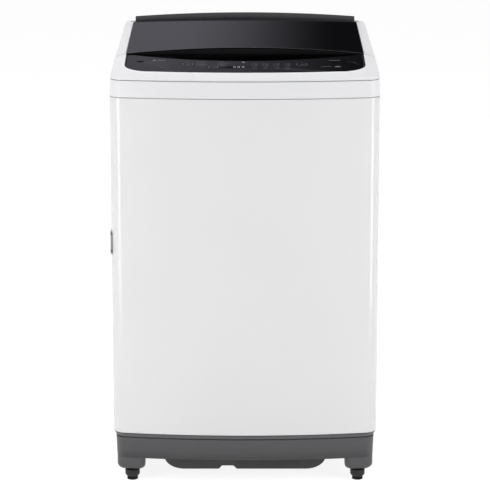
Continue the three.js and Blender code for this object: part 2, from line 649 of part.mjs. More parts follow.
function backCover() {
  const half = BACK_OPENING_HALF_WIDTH + BACK_COVER_LAP;
  const [low, high] = [BACK_OPENING_BOTTOM - BACK_COVER_LAP, BACK_OPENING_TOP + BACK_COVER_LAP];
  const face = BACK_INNER - GAP;
  const plate = box(-half, half, face - SHEET, face, low, high);
  const [border, stamped] = [BACK_COVER_BORDER, BACK_COVER_PRESSING];
  const pan = box(-half + border, half - border, face - SHEET - stamped, face, low + border, high - border);
  const dish = box(-half + border + SHEET, half - border - SHEET, face - stamped, face + 1,
    low + border + SHEET, high - border - SHEET);
  const hole = rodY(DRAIN_RADIUS + FIT, 0, FAR, DRAIN_X, DRAIN_HEIGHT, SPIGOT_ROUND);
  return cut(join(plate, pan), dish, hole);
}

// The moulded ring under the cabinet, with a block at each corner for a foot.
function baseFrame() {
  const top = CABINET_BOTTOM;
  const taper = BASE_INSET + BASE_TAPER;
  const outer = stack([[BASE_BOTTOM, taper], [BASE_LEDGE, BASE_INSET],
    [BASE_LEDGE, BASE_INSET - SHOULDER_STEP], [top, SHOULDER_INSET]]);
  const inner = stack([[BASE_BOTTOM - 1, taper + PLASTIC], [BASE_LEDGE, BASE_INSET + PLASTIC],
    [top + 1, BASE_INSET + PLASTIC]]);
  const web = cut(column(taper + PLASTIC / 2, BASE_BOTTOM, BASE_BOTTOM + PLASTIC),
    rodZ(CLUTCH_RADIUS + PULLEY_RADIUS, BASE_BOTTOM - 1, top, 0, TUB_Y, ROUND));
  const rest = cut(column(taper, top - PLASTIC, top), column(FLANGE_WIDTH, top - PLASTIC - 1, top + 1));
  const legs = CORNERS.map((corner) => {
    const { sx, sy } = corner;
    const [footX, footY] = footPlace(corner);
    const block = prism(roundedRectangle(
      ...ordered(sx * (SIDE - LEG_SIZE), sx * FAR), ...ordered(sy * (BACK - LEG_SIZE), sy * FAR),
      LEG_CORNER_RADIUS, 4), LEG_BOTTOM, top - PLASTIC);
    const hull = stack([...LEG_SOLE.map(([rise, inset]) => [LEG_BOTTOM + rise, taper + inset]),
      [BASE_LEDGE, BASE_INSET], [top, BASE_INSET]]);
    const socketTop = LEG_BOTTOM + FOOT_STUD_LENGTH + 1;
    const socket = rodZ(FOOT_STUD_RADIUS + GAP, LEG_BOTTOM - 1, socketTop, footX, footY);
    return { block: common(block, hull), socket };
  });
  const frame = join(cut(outer, inner), web, rest, ...legs.map(({ block }) => block));
  return cut(frame, ...legs.map(({ socket }) => socket));
}

function footPad(corner) {
  const [x, y] = footPlace(corner);
  const [radius, top] = [FOOT_PAD_RADIUS, FOOT_PAD_HEIGHT - GAP];
  return turned([[0, 0], [radius - 1, 0], [radius, 1], [radius, top], [0, top]], x, y, SMALL_ROUND);
}

function foot(corner) {
  const [x, y] = footPlace(corner);
  const top = LEG_BOTTOM - GAP;
  const flangeBottom = FOOT_PAD_HEIGHT + FOOT_FLANGE_FLARE;
  return turned([
    [0, FOOT_PAD_HEIGHT], [FOOT_PAD_RADIUS + 1, FOOT_PAD_HEIGHT], [FOOT_FLANGE_RADIUS, flangeBottom],
    [FOOT_FLANGE_RADIUS, top], [FOOT_STUD_RADIUS, top],
    [FOOT_STUD_RADIUS, top + FOOT_STUD_LENGTH], [0, top + FOOT_STUD_LENGTH],
  ], x, y, SMALL_ROUND);
}

// The shallow trough that closes the underside between the legs.
function bottomCover() {
  const top = BASE_BOTTOM - GAP;
  const section = (inset) => {
    const half = TROUGH_HALF_WIDTH - inset;
    const low = LEG_BOTTOM + inset;
    const [curveX, curveZ] = [TROUGH_CORNER_WIDTH - inset, top - LEG_BOTTOM - 1 - inset];
    return [
      ...arc(half - curveX, low + curveZ, curveX, -Math.PI / 2, 0, 6, curveZ),
      new THREE.Vector2(half, top + inset),
      new THREE.Vector2(-half, top + inset),
      ...arc(-half + curveX, low + curveZ, curveX, Math.PI, 1.5 * Math.PI, 6, curveZ),
    ];
  };
  const half = TROUGH_NOTCH_WIDTH / 2;
  const notch = [[-half, -1], [half, -1], [half - TROUGH_NOTCH_HEIGHT, TROUGH_NOTCH_HEIGHT],
    [TROUGH_NOTCH_HEIGHT - half, TROUGH_NOTCH_HEIGHT]]
    .map(([x, z]) => new THREE.Vector2(TROUGH_NOTCH_X + x, LEG_BOTTOM + z));
  const length = TROUGH_HALF_LENGTH;
  const wall = THIN_PLASTIC;
  return cut(sweepY(section(0), -length, length),
    sweepY(section(wall), -length + wall, length - wall),
    sweepY(notch, -FAR, -length + 2 * wall));
}

function sideGrip() {
  const [y0, y1] = [GRIP_Y - GRIP_LENGTH / 2, GRIP_Y + GRIP_LENGTH / 2];
  const [z0, z1] = [GRIP_CENTRE - GRIP_HEIGHT / 2, GRIP_CENTRE + GRIP_HEIGHT / 2];
  const wallX = -SIDE;
  const inner = GRIP_RIM + GAP;
  const rim = box(wallX - GRIP_PROUD, wallX - GAP, y0, y1, z0, z1);
  const cup = box(wallX - GRIP_PROUD, wallX + GRIP_DEPTH, y0 + inner, y1 - inner, z0 + inner, z1 - inner);
  const wall = inner + DRAWER_WALL;
  const hollow = box(-FAR, wallX + GRIP_DEPTH - DRAWER_WALL, y0 + wall, y1 - wall, z0 + wall, z1 - wall);
  return cut(join(rim, cup), hollow);
}

// ---------------------------------------------------------------- top cover, panel and hinge cover

// The recess for the lid, from y0 back to the hinge cover and `drop` deep.
const recess = (y0, drop) => onDeck(box(-TRAY_HALF_WIDTH, TRAY_HALF_WIDTH, y0, BAND_FRONT, -drop, FAR));

function drawerSlot(clearance) {
  const half = DRAWER_HALF_WIDTH + clearance;
  return box(-half, half, MOUTH_REAR - PLASTIC, MOUTH_REAR + DRAWER_LENGTH, DRAWER_BOTTOM - clearance,
    DRAWER_BOTTOM + DRAWER_HEIGHT + clearance);
}

function topCover() {
  const bottom = CABINET_TOP + GAP;
  const skin = (inset, low) => stack([[low, inset], [HOUSING_BOTTOM, TOP_INSET + inset],
    [BAND_TOP, 2 * HEAD_INSET + inset]]);
  const behindSeam = box(-FAR, FAR, LID_FRONT, FAR, 0, FAR);
  const housingSpace = box(-FAR, FAR, -FAR, LID_FRONT, HOUSING_BOTTOM, FAR);
  const outer = cut(common(skin(0, bottom), underDeck()), housingSpace);
  const hollow = common(skin(PLASTIC, bottom - 1), underDeck(PLASTIC));
  const half = TRAY_HALF_WIDTH + PLASTIC;
  const block = (y0, y1, drop) => common(outer, behindSeam,
    onDeck(box(-half, half, y0, y1, -drop - PLASTIC, 0)));
  const channelStart = CHANNEL_FRONT - PLASTIC;
  const well = join(block(LID_FRONT, channelStart + 1, TRAY_DEPTH),
    block(channelStart, BAND_FRONT + PLASTIC, CHANNEL_DEPTH));
  const collar = common(prism(mouthOutline(PLASTIC), COLLAR_BOTTOM, BAND_TOP), underDeck(TRAY_DEPTH));
  const bandHalf = BAND_HALF_WIDTH + FIT;
  const bandSeat = onDeck(box(-bandHalf, bandHalf, BAND_FRONT - GAP, FAR, -TRAY_DEPTH, FAR));
  const pocketSpace = common(prism(pocketOutline(-FIT), HOUSING_BOTTOM - POCKET_DEPTH, FAR), behindSeam,
    onDeck(layer(-POCKET_DEPTH - THIN_PLASTIC - FIT, FAR)));
  const pinReach = LID_PIN_X + FIT;
  const pinHoles = rodX(HINGE_PIN_RADIUS + GAP, -pinReach, pinReach, HINGE_Y, HINGE_Z);
  const rearHoles = [
    ...INLETS.map((x) => rodY(INLET_RADIUS + FIT, BACK / 2, FAR, x, INLET_HEIGHT, SPIGOT_ROUND)),
    rodY(GLAND_RADIUS + FIT, BACK / 2, FAR, GLAND_X, INLET_HEIGHT),
  ].map((hole) => common(hole, box(-FAR, FAR, BAND_FRONT, FAR, 0, FAR)));
  return cut(join(cut(outer, hollow), well, collar), recess(LID_FRONT - 1, TRAY_DEPTH),
    recess(CHANNEL_FRONT, CHANNEL_DEPTH), prism(mouthOutline(0), CABINET_TOP, FAR), bandSeat, pocketSpace,
    pinHoles, drawerSlot(FIT), ...rearHoles);
}

function controlHousing() {
  const bottom = HOUSING_BOTTOM + GAP;
  const skin = (inset, low) => stack([[low, inset], [BAND_TOP, 2 * HEAD_INSET + inset]]);
  const outer = common(skin(0, bottom), underPanel(), box(-FAR, FAR, -FAR, LID_FRONT - GAP, 0, FAR));
  const hollow = common(skin(PLASTIC, bottom - 1), underPanel(2 * PLASTIC));
  const seat = common(prism(seatOutline(), 0, FAR), onPanel(layer(-FASCIA_THICKNESS - GAP, FAR)));
  const window = common(prism(fasciaOutline(-FASCIA_SEAT), 0, FAR),
    box(-FAR, FAR, -FAR, LID_FRONT - FASCIA_REAR_SAG, 0, FAR));
  return cut(outer, hollow, seat, window, prism(pocketOutline(-FIT), 0, FAR));
}

const keyOutlines = () => {
  const rectangle = (x, y, [width, length], grow, radius) => roundedRectangle(x - width / 2 - grow,
    x + width / 2 + grow, y - length / 2 - grow, y + length / 2 + grow, radius + grow, 2);
  const circle = (x, radius) => ellipseOutline(x, ROUND_KEY_Y, radius, radius, 16);
  const round = (x) => ({ x, y: ROUND_KEY_Y, outline: (grow) => circle(x, ROUND_KEY_RADIUS + grow) });
  const options = Array.from({ length: OPTION_KEY_COUNT }, (_, i) => {
    const x = OPTION_KEY_FIRST_X + i * OPTION_KEY_PITCH;
    return { name: `option_key_${i + 1}`, x, y: KEY_ROW_Y,
      outline: (grow) => rectangle(x, KEY_ROW_Y, OPTION_KEY_SIZE, grow, OPTION_KEY_CORNER) };
  });
  return [
    { name: 'power_key', ...round(-ROUND_KEY_X) },
    { name: 'start_key', ...round(ROUND_KEY_X) },
    { name: 'program_key', x: PROGRAM_KEY_X, y: KEY_ROW_Y,
      outline: (grow) => rectangle(PROGRAM_KEY_X, KEY_ROW_Y, PROGRAM_KEY_SIZE, grow, PROGRAM_KEY_CORNER) },
    ...options,
  ];
};

const [POST_INSET_X, POST_INSET_Y] = BOARD_POST_INSET;
const POST_PLACES = [-1, 1].flatMap((side) => [BOARD_FRONT + POST_INSET_Y, BOARD_REAR - POST_INSET_Y]
  .map((y) => [side * (BOARD_HALF_WIDTH - POST_INSET_X), y]));

function controlFascia() {
  const plate = prism(fasciaOutline(0), -FASCIA_THICKNESS, 0);
  const posts = POST_PLACES.map(([x, y]) => rodZ(BOARD_POST_RADIUS, -BOARD_DEPTH + GAP, -1, x, y, 8));
  const keyHoles = keyOutlines().map(({ outline }) => prism(outline(FIT), -FASCIA_THICKNESS - 1, 1));
  const [rx, ry] = PLUG_RADII.map((radius) => radius + GAP);
  const plugHoles = [-1, 1].map(
    (side) => prism(ellipseOutline(side * PLUG_X, PLUG_Y, rx, ry), -FASCIA_THICKNESS - 1, 1));
  return onPanel(cut(join(plate, ...posts), ...keyHoles, ...plugHoles));
}

function controlKey({ x, y, outline }) {
  const flangeTop = -FASCIA_THICKNESS - GAP;
  const cap = prism(outline(0), flangeTop - KEY_FLANGE, KEY_PROUD);
  const flange = prism(outline(KEY_FLANGE + FIT), flangeTop - KEY_FLANGE, flangeTop);
  const stem = rodZ(KEY_STEM_RADIUS, -BOARD_DEPTH + KEY_TRAVEL + GAP, flangeTop, x, y, 8);
  return onPanel(join(cap, flange, stem));
}

function screwPlug(side) {
  const [rx, ry] = PLUG_RADII;
  return onPanel(prism(ellipseOutline(side * PLUG_X, PLUG_Y, rx, ry), -FASCIA_THICKNESS, -PLUG_SUNK));
}

function controlBoard() {
  return onPanel(box(-BOARD_HALF_WIDTH, BOARD_HALF_WIDTH, BOARD_FRONT, BOARD_REAR,
    -BOARD_DEPTH - BOARD_THICKNESS, -BOARD_DEPTH));
}

function fingerPocket() {
  const shell = onDeck(prism(pocketOutline(0), -POCKET_DEPTH - THIN_PLASTIC, FAR));
  const underLid = onDeck(box(-FAR, FAR, LID_FRONT, FAR, -TRAY_DEPTH - LID_CLEARANCE, FAR));
  const throat = prism(pocketOutline(THIN_PLASTIC), 0, FAR);
  const slope = onDeck(box(-FAR, FAR, LID_FRONT - FASCIA_REAR_SAG + POCKET_SLOPE, FAR, -POCKET_DEPTH, FAR));
  const upper = onDeck(layer(-POCKET_DEPTH / 2, FAR));
  return cut(common(shell, underPanel()), underLid, common(throat, slope), common(throat, upper));
}

function hingeCover() {
  const back = BACK - BAND_SETBACK;
  const low = deckHeight(BACK) - TRAY_DEPTH + GAP;
  const outline = (inset) => {
    const half = BAND_HALF_WIDTH - inset;
    return [new THREE.Vector2(-half, low - inset), new THREE.Vector2(half, low - inset),
      ...bowed(half, BAND_TOP - inset - BAND_SAG, BAND_SAG).reverse()];
  };
  return cut(sweepY(outline(0), BAND_FRONT, back),
    sweepY(outline(THIN_PLASTIC), BAND_FRONT + THIN_PLASTIC, back - THIN_PLASTIC));
}

// ---------------------------------------------------------------- lid

// The space between two crowned faces, `under` and `over` the lid's crowned surface.
function crownedSlab(under, over) {
  const face = (drop) => bowed(LID_HALF_WIDTH + GLASS_THICKNESS, LID_PROUD - drop, LID_CROWN, 16);
  return onDeck(sweepY([...face(under), ...face(over).reverse()], -FAR, FAR));
}

function lidGlass() {
  return common(prism(lidOutline(0), CABINET_TOP, FAR), crownedSlab(GLASS_THICKNESS, 0));
}

function lidFrame() {
  const seat = GLASS_THICKNESS + GAP;
  const body = common(prism(lidOutline(LID_FRAME_INSET), CABINET_TOP, FAR),
    onDeck(layer(GAP - TRAY_DEPTH, FAR)), crownedSlab(FAR, seat));
  const half = LID_HALF_WIDTH - LID_WINDOW_MARGIN;
  const window = prism(roundedRectangle(-half, half, LID_FRONT + LID_FRONT_SAG + LID_WINDOW_MARGIN,
    LID_REAR - LID_WINDOW_MARGIN, LID_WINDOW_RADIUS, 4), 0, FAR);
  const hinges = [-1, 1].map((side) => {
    const root = side * (LID_HALF_WIDTH - HINGE_ROOT);
    return join(
      rodX(HINGE_BOSS_RADIUS, ...ordered(root, side * (TRAY_HALF_WIDTH - 1)), HINGE_Y, HINGE_Z),
      rodX(HINGE_PIN_RADIUS, ...ordered(root, side * LID_PIN_X), HINGE_Y, HINGE_Z),
    );
  });
  const glassSpace = common(prism(lidOutline(-1), CABINET_TOP, FAR), crownedSlab(seat, -LID_CROWN));
  return cut(join(body, ...hinges), window, glassSpace);
}

// ---------------------------------------------------------------- water in and out, detergent

// Fittings on the back wall of the top cover stand on its inner face.
const REAR_SEAT = BACK - PLASTIC - 1;
const SPIGOT_END = BACK + SPIGOT_PROUD;

function inletValve(x) {
  const [width, length, height] = VALVE_SIZE;
  const block = box(x - width / 2, x + width / 2, REAR_SEAT - length, REAR_SEAT, INLET_HEIGHT - height / 2,
    INLET_HEIGHT + height / 2);
  const coil = rodZ(width / 2 - PLASTIC, INLET_HEIGHT - height / 2 - VALVE_COIL, INLET_HEIGHT, x,
    REAR_SEAT - length / 2);
  const spigot = rodY(INLET_RADIUS, REAR_SEAT - 1, SPIGOT_END, x, INLET_HEIGHT, SPIGOT_ROUND);
  return cut(join(block, coil, spigot), rodY(INLET_BORE, REAR_SEAT - length / 4, FAR, x, INLET_HEIGHT));
}

function cordGland() {
  const collar = rodY(GLAND_RADIUS + GLAND_COLLAR, REAR_SEAT - GLAND_COLLAR, REAR_SEAT, GLAND_X,
    INLET_HEIGHT);
  const nose = rodY(GLAND_RADIUS, REAR_SEAT - 1, SPIGOT_END - 2, GLAND_X, INLET_HEIGHT);
  return cut(join(collar, nose), rodY(GLAND_BORE, 0, FAR, GLAND_X, INLET_HEIGHT));
}

function drainOutlet() {
  const face = BACK_INNER - SHEET - 2 * GAP;
  const flange = rodY(DRAIN_RADIUS + DRAIN_FLANGE, face - DRAIN_FLANGE / 2, face, DRAIN_X, DRAIN_HEIGHT);
  const spigot = rodY(DRAIN_RADIUS, face - DRAIN_LENGTH, SPIGOT_END, DRAIN_X, DRAIN_HEIGHT, SPIGOT_ROUND);
  return cut(join(flange, spigot), rodY(DRAIN_BORE, 0, FAR, DRAIN_X, DRAIN_HEIGHT));
}

// The housing hangs behind the mouth and guides the drawer, which slides towards the front.
function drawerHousing() {
  const half = DRAWER_HALF_WIDTH + FIT + DRAWER_WALL;
  const top = DRAWER_BOTTOM + DRAWER_HEIGHT;
  const [front, back] = [MOUTH_REAR + PLASTIC + GAP, MOUTH_REAR + DRAWER_LENGTH];
  const shell = box(-half, half, front, back + DRAWER_WALL, DRAWER_BOTTOM - GAP - DRAWER_WALL,
    top + FIT + DRAWER_WALL);
  const slot = box(DRAWER_WALL - half, half - DRAWER_WALL, 0, back, DRAWER_BOTTOM - GAP, top + FIT);
  const [width, length] = HANGER_SIZE;
  const hangers = [-1, 1].map((side) => box(...ordered(side * half, side * (half - width)), front,
    front + length, top, BAND_TOP));
  return cut(common(join(shell, ...hangers), underDeck(TRAY_DEPTH + PLASTIC + GAP)), slot);
}

function detergentDrawer() {
  const half = DRAWER_HALF_WIDTH;
  const [front, back] = [MOUTH_REAR, MOUTH_REAR + DRAWER_LENGTH - DRAWER_WALL];
  const top = DRAWER_BOTTOM + DRAWER_HEIGHT;
  const shell = box(-half, half, front, back, DRAWER_BOTTOM, top - DRAWER_LIP);
  const face = box(-half, half, front, front + DRAWER_FACE, DRAWER_BOTTOM, top);
  const split = DRAWER_DIVIDER_X;
  const cells = [[DRAWER_WALL - half, split], [split + DRAWER_WALL, half - DRAWER_WALL]].map(
    ([x0, x1]) => box(x0, x1, front + DRAWER_FACE, back - DRAWER_WALL, DRAWER_BOTTOM + DRAWER_WALL, FAR));
  return cut(join(shell, face), ...cells);
}

// ---------------------------------------------------------------- tub and its suspension

function outerTub() {
  const [r, wall, bend] = [TUB_RADIUS, TUB_WALL, TUB_CORNER * 0.3];
  const low = TUB_BOTTOM;
  const neck = CLUTCH_NECK_RADIUS + SHAFT_CLEARANCE * 2;
  const neckTop = low + NECK_HEIGHT + 2 * GAP;
  const shell = turned([
    [neck, low], [r - TUB_CORNER, low], [r - bend, low + bend], [r, low + TUB_CORNER], [r, TUB_TOP - TUB_RIM],
    [r + TUB_RIM / 2, TUB_TOP - TUB_RIM], [r + TUB_RIM / 2, TUB_TOP], [r - wall, TUB_TOP],
    [r - wall, low + TUB_CORNER], [r - bend - wall, low + bend + wall], [r - TUB_CORNER, low + wall],
    [neck + 2 * wall, low + wall], [neck + 2 * wall, neckTop], [neck, neckTop],
  ], 0, TUB_Y);
  const inside = rodZ(r - wall / 2, low + TUB_CORNER, TUB_TOP, 0, TUB_Y, ROUND);
  const [ribLength, ribWidth, ribHeight] = LUG_RIB;
  const lugs = CORNERS.map((corner) => {
    const [x, y] = rodPlace(corner);
    const start = r - 2 * LUG_HEIGHT;
    const reach = Math.hypot(x, y - TUB_Y) + LUG_HEIGHT - start;
    const turn = Math.atan2(y - TUB_Y, x);
    const arm = new THREE.BoxGeometry(reach, LUG_WIDTH, LUG_HEIGHT)
      .translate(start + reach / 2, 0, LUG_BOTTOM + LUG_HEIGHT / 2);
    const rib = new THREE.BoxGeometry(ribLength, ribWidth, ribHeight)
      .translate(r + ribLength / 2 - wall, 0, LUG_BOTTOM + LUG_HEIGHT + ribHeight / 2 - 1);
    const whole = join(...[arm, rib].map((piece) => solidOf(piece.rotateZ(turn).translate(0, TUB_Y, 0))));
    return cut(whole, inside, rodZ(ROD_RADIUS + ROD_HOLE_CLEARANCE, low, TUB_TOP, x, y));
  });
  const drainHole = rodZ(DRAIN_BORE, low - 1, low + TUB_CORNER, DRAIN_VALVE_X, DRAIN_VALVE_Y);
  return cut(join(shell, ...lugs), drainHole);
}

function tubCover() {
  const low = TUB_TOP + GAP;
  const high = low + TUB_COVER_HEIGHT;
  const [outer, inner, skin] = [TUB_COVER_RADIUS, TUB_COVER_MOUTH, COVER_SKIN];
  return turned([
    [inner, high - skin], [outer - COVER_SLOPE, high - skin], [outer, low], [outer, low + PLASTIC],
    [outer + PLASTIC - COVER_SLOPE, high], [inner, high],
  ], 0, TUB_Y);
}

function suspensionRod(corner) {
  const [x, y] = rodPlace(corner);
  const seat = GUSSET_TOP + GAP;
  const cupTop = ROD_BOTTOM + ROD_CUP_HEIGHT;
  return turned([
    [0, ROD_BOTTOM], [0.75 * ROD_CUP_RADIUS, ROD_BOTTOM], [ROD_CUP_RADIUS, ROD_BOTTOM + ROD_CUP_HEIGHT / 2],
    [ROD_CUP_RADIUS, cupTop], [ROD_RADIUS, cupTop], [ROD_RADIUS, seat], [ROD_HEAD_RADIUS, seat],
    [0.75 * ROD_HEAD_RADIUS, seat + 0.7 * ROD_HEAD_HEIGHT], [0, seat + ROD_HEAD_HEIGHT],
  ], x, y, SMALL_ROUND);
}

class Helix extends THREE.Curve {
  constructor(radius, bottom, top, turns, x, y) {
    super();
    Object.assign(this, { radius, bottom, top, turns, x, y });
  }

  getPoint(t, target = new THREE.Vector3()) {
    const angle = 2 * Math.PI * this.turns * t;
    return target.set(this.x + this.radius * Math.cos(angle), this.y + this.radius * Math.sin(angle),
      this.bottom + (this.top - this.bottom) * t);
  }
}

function suspensionSpring(corner) {
  const [x, y] = rodPlace(corner);
  const low = SPRING_BOTTOM + GAP + SPRING_WIRE;
  const high = LUG_BOTTOM - GAP - SPRING_WIRE;
  const wire = new THREE.Shape(ellipseOutline(0, 0, SPRING_WIRE, SPRING_WIRE, 4));
  const path = new Helix(SPRING_RADIUS, low, high, SPRING_TURNS, x, y);
  const options = { steps: SPRING_TURNS * 8, bevelEnabled: false, extrudePath: path };
  return solidOf(new THREE.ExtrudeGeometry(wire, options));
}

function drainValve() {
  const [x, y, top] = [DRAIN_VALVE_X, DRAIN_VALVE_Y, TUB_BOTTOM - GAP];
  const [width, length, height] = ACTUATOR_SIZE;
  const [radius, middle] = [DRAIN_BORE + VALVE_WALL, top - VALVE_HEIGHT / 2];
  const body = rodZ(radius, top - VALVE_HEIGHT, top, x, y);
  const actuator = box(x - VALVE_WALL - width, x - VALVE_WALL, y - length / 2, y + length / 2,
    middle - height / 2, middle + height / 2);
  const throat = rodZ(DRAIN_BORE, top - VALVE_HEIGHT + VALVE_WALL, top + 1, x, y);
  const spigot = rodY(DRAIN_BORE, y - VALVE_HEIGHT, y, x, middle);
  return cut(join(body, actuator, spigot), throat, rodY(0.75 * DRAIN_BORE, -FAR, y, x, middle));
}

// ---------------------------------------------------------------- basket and pulsator

function basket() {
  const [r, wall, bend] = [BASKET_RADIUS, BASKET_WALL, BASKET_CORNER * 0.3];
  const [low, hole] = [BASKET_BOTTOM, SPIN_TUBE_RADIUS + 1];
  return turned([
    [hole, low], [r - BASKET_CORNER, low], [r - bend, low + bend], [r, low + BASKET_CORNER], [r, BASKET_TOP],
    [r - wall, BASKET_TOP], [r - wall, low + BASKET_CORNER], [r - bend - 0.7 * wall, low + bend + 0.7 * wall],
    [r - BASKET_CORNER, low + wall], [hole, low + wall],
  ], 0, TUB_Y);
}

// The ring of liquid that steadies the spin caps the basket's rim.
function balanceRing() {
  const low = BASKET_TOP - RING_LAP;
  const high = low + RING_HEIGHT;
  const [inner, outer, edge] = [RING_INNER_RADIUS, RING_RADIUS, RING_EDGE];
  const [slotInner, slotOuter] = [BASKET_RADIUS - BASKET_WALL - GAP, BASKET_RADIUS + GAP];
  const slotTop = BASKET_TOP + GAP;
  return turned([
    [inner + edge, low], [slotInner, low], [slotInner, slotTop], [slotOuter, slotTop], [slotOuter, low],
    [outer, low], [outer, high - edge], [outer - edge, high], [inner + edge, high], [inner, high - edge],
    [inner, low + edge],
  ], 0, TUB_Y);
}

// The hub under the basket, with the hollow shaft that spins it.
function basketHub() {
  const top = BASKET_BOTTOM - GAP;
  const [bore, tube] = [SHAFT_RADIUS + SHAFT_CLEARANCE, SPIN_TUBE_RADIUS];
  const under = top - HUB_THICKNESS;
  return turned([
    [bore, SPIN_TUBE_BOTTOM], [tube, SPIN_TUBE_BOTTOM], [tube, under - HUB_FLARE], [2 * tube, under],
    [HUB_RADIUS, under], [HUB_RADIUS, top], [tube, top], [tube, top + PULSATOR_LIFT], [bore, top + PULSATOR_LIFT],
  ], 0, TUB_Y, MID_ROUND);
}

function lintFilter() {
  const outer = BASKET_RADIUS - BASKET_WALL - GAP;
  const curved = cut(rodZ(outer, FILTER_BOTTOM, FILTER_BOTTOM + FILTER_HEIGHT, 0, TUB_Y, ROUND),
    rodZ(outer - FILTER_DEPTH, FILTER_BOTTOM - 1, FILTER_BOTTOM + FILTER_HEIGHT + 1, 0, TUB_Y, ROUND));
  const slice = box(0, FAR, TUB_Y - FILTER_WIDTH / 2, TUB_Y + FILTER_WIDTH / 2, 0, FAR);
  return common(curved, slice);
}

// A flat cone with raised fins; its shaft hole fits the wash shaft.
function pulsator() {
  const [low, top, r] = [PULSATOR_BOTTOM, PULSATOR_TOP, PULSATOR_RADIUS];
  const bore = SHAFT_RADIUS + GAP;
  const disc = turned([
    [bore, low], [r - PULSATOR_RIM, low], [r, low + 0.3 * PULSATOR_HEIGHT], [r, low + 0.5 * PULSATOR_HEIGHT],
    [r - 0.7 * PULSATOR_RIM, low + 0.4 * PULSATOR_HEIGHT], [0.36 * r, low + 0.45 * PULSATOR_HEIGHT],
    [0.16 * r, top - 2], [bore, top],
  ], 0, TUB_Y);
  const [finStart, finEnd] = [PULSATOR_CAP_RADIUS + FIN_GAPS[0], r - FIN_GAPS[1]];
  const fins = Array.from({ length: PULSATOR_FIN_COUNT }, (_, i) => {
    const fin = new THREE.CylinderGeometry(FIN_RADII[0], FIN_RADII[1], finEnd - finStart, 8)
      .rotateZ(-Math.PI / 2)
      .scale(1, 1, 1.6)
      .translate((finStart + finEnd) / 2, 0, low + 0.44 * PULSATOR_HEIGHT)
      .rotateZ((2 * Math.PI * i) / PULSATOR_FIN_COUNT)
      .translate(0, TUB_Y, 0);
    return cut(solidOf(fin), rodZ(bore + 2, low, FAR, 0, TUB_Y), rodZ(r, 0, low + FIN_LIFT, 0, TUB_Y));
  });
  return cut(join(disc, ...fins), rodZ(bore, 0, FAR, 0, TUB_Y, 24));
}

function pulsatorCap() {
  const [low, r] = [PULSATOR_TOP + GAP, PULSATOR_CAP_RADIUS];
  return turned([[0, low], [r, low], [r, low + 3], [r - 5, low + 8], [0, low + 10]], 0, TUB_Y, MID_ROUND);
}

function washShaft() {
  const low = CLUTCH_BOTTOM + SHAFT_SEAT + 2;
  return turned([[0, low], [SHAFT_RADIUS, low], [SHAFT_RADIUS, PULSATOR_TOP], [0, PULSATOR_TOP]], 0, TUB_Y,
    SPIGOT_ROUND);
}

// ---------------------------------------------------------------- drive

// The steel plate under the tub that carries the clutch and the motor, notched for the valve.
function drivePlate() {
  const half = DRIVE_PLATE_HALF_WIDTH;
  const [low, high] = [DRIVE_PLATE_BOTTOM, DRIVE_PLATE_TOP];
  const outline = roundedRectangle(-half, half, TUB_Y - CLUTCH_RADIUS - DRIVE_PLATE_MARGIN,
    MOTOR_Y + MOTOR_RADIUS + DRIVE_PLATE_MARGIN, 2 * DRIVE_PLATE_MARGIN, 3);
  const clutchHole = rodZ(CLUTCH_RADIUS - DRIVE_PLATE_MARGIN, low - 1, high + 1, 0, TUB_Y, 24);
  const notch = box(-FAR, DRAIN_VALVE_X + DRAIN_BORE + VALVE_WALL + PLASTIC, -FAR,
    DRAIN_VALVE_Y + DRAIN_BORE + VALVE_WALL + PLASTIC, low - 1, high + 1);
  return cut(prism(outline, low, high), clutchHole, notch);
}

function clutchHousing() {
  const [low, top, r] = [CLUTCH_BOTTOM, CLUTCH_TOP, CLUTCH_RADIUS];
  const bore = SPIN_TUBE_RADIUS + SHAFT_CLEARANCE;
  const shaftBore = SHAFT_RADIUS + SHAFT_CLEARANCE;
  const [neckTop, step] = [TUB_BOTTOM + NECK_HEIGHT, SPIN_TUBE_BOTTOM - 2];
  const body = r - CLUTCH_FLANGE;
  return turned([
    [shaftBore, low], [0.56 * r, low], [0.64 * r, low + 0.64 * SHOULDER_CONE], [body, low + SHOULDER_CONE],
    [body, top - 1.5 * CLUTCH_FLANGE], [r, top - CLUTCH_FLANGE], [r, top], [CLUTCH_NECK_RADIUS, top],
    [CLUTCH_NECK_RADIUS, neckTop], [bore, neckTop], [bore, step], [shaftBore, step],
  ], 0, TUB_Y, MID_ROUND);
}

function motorHousing() {
  const [low, top, r, plate] = [MOTOR_BOTTOM, MOTOR_TOP, MOTOR_RADIUS, CLUTCH_TOP];
  const bore = SHAFT_RADIUS + SHAFT_CLEARANCE;
  return turned([
    [bore, low], [0.55 * r, low], [r, low + MOTOR_CAP], [r, top - MOTOR_CAP], [r - MOTOR_CAP, top],
    [r - MOTOR_CAP, plate], [0.45 * r, plate], [0.45 * r, top], [bore, top],
  ], 0, MOTOR_Y, MID_ROUND);
}

// A grooved pulley with the shaft that turns in the piece above it.
function pulley(radius, y, shaftTop, facets) {
  const half = BELT_WIDTH / 2 + GAP;
  const groove = radius - BELT_THICKNESS;
  const [low, middle, top] = [PULLEY_BOTTOM, PULLEY_MIDDLE, PULLEY_BOTTOM + PULLEY_WIDTH];
  return turned([
    [0, low], [radius, low], [radius, middle - half], [groove, middle - half], [groove, middle + half],
    [radius, middle + half], [radius, top], [SHAFT_RADIUS, top], [SHAFT_RADIUS, shaftTop], [0, shaftTop],
  ], 0, y, facets);
}
const drivePulley = () => pulley(PULLEY_RADIUS, TUB_Y, CLUTCH_BOTTOM + SHAFT_SEAT, 24);
const motorPulley = () => pulley(MOTOR_PULLEY_RADIUS, MOTOR_Y, MOTOR_TOP - PLASTIC - 1, SPIGOT_ROUND);

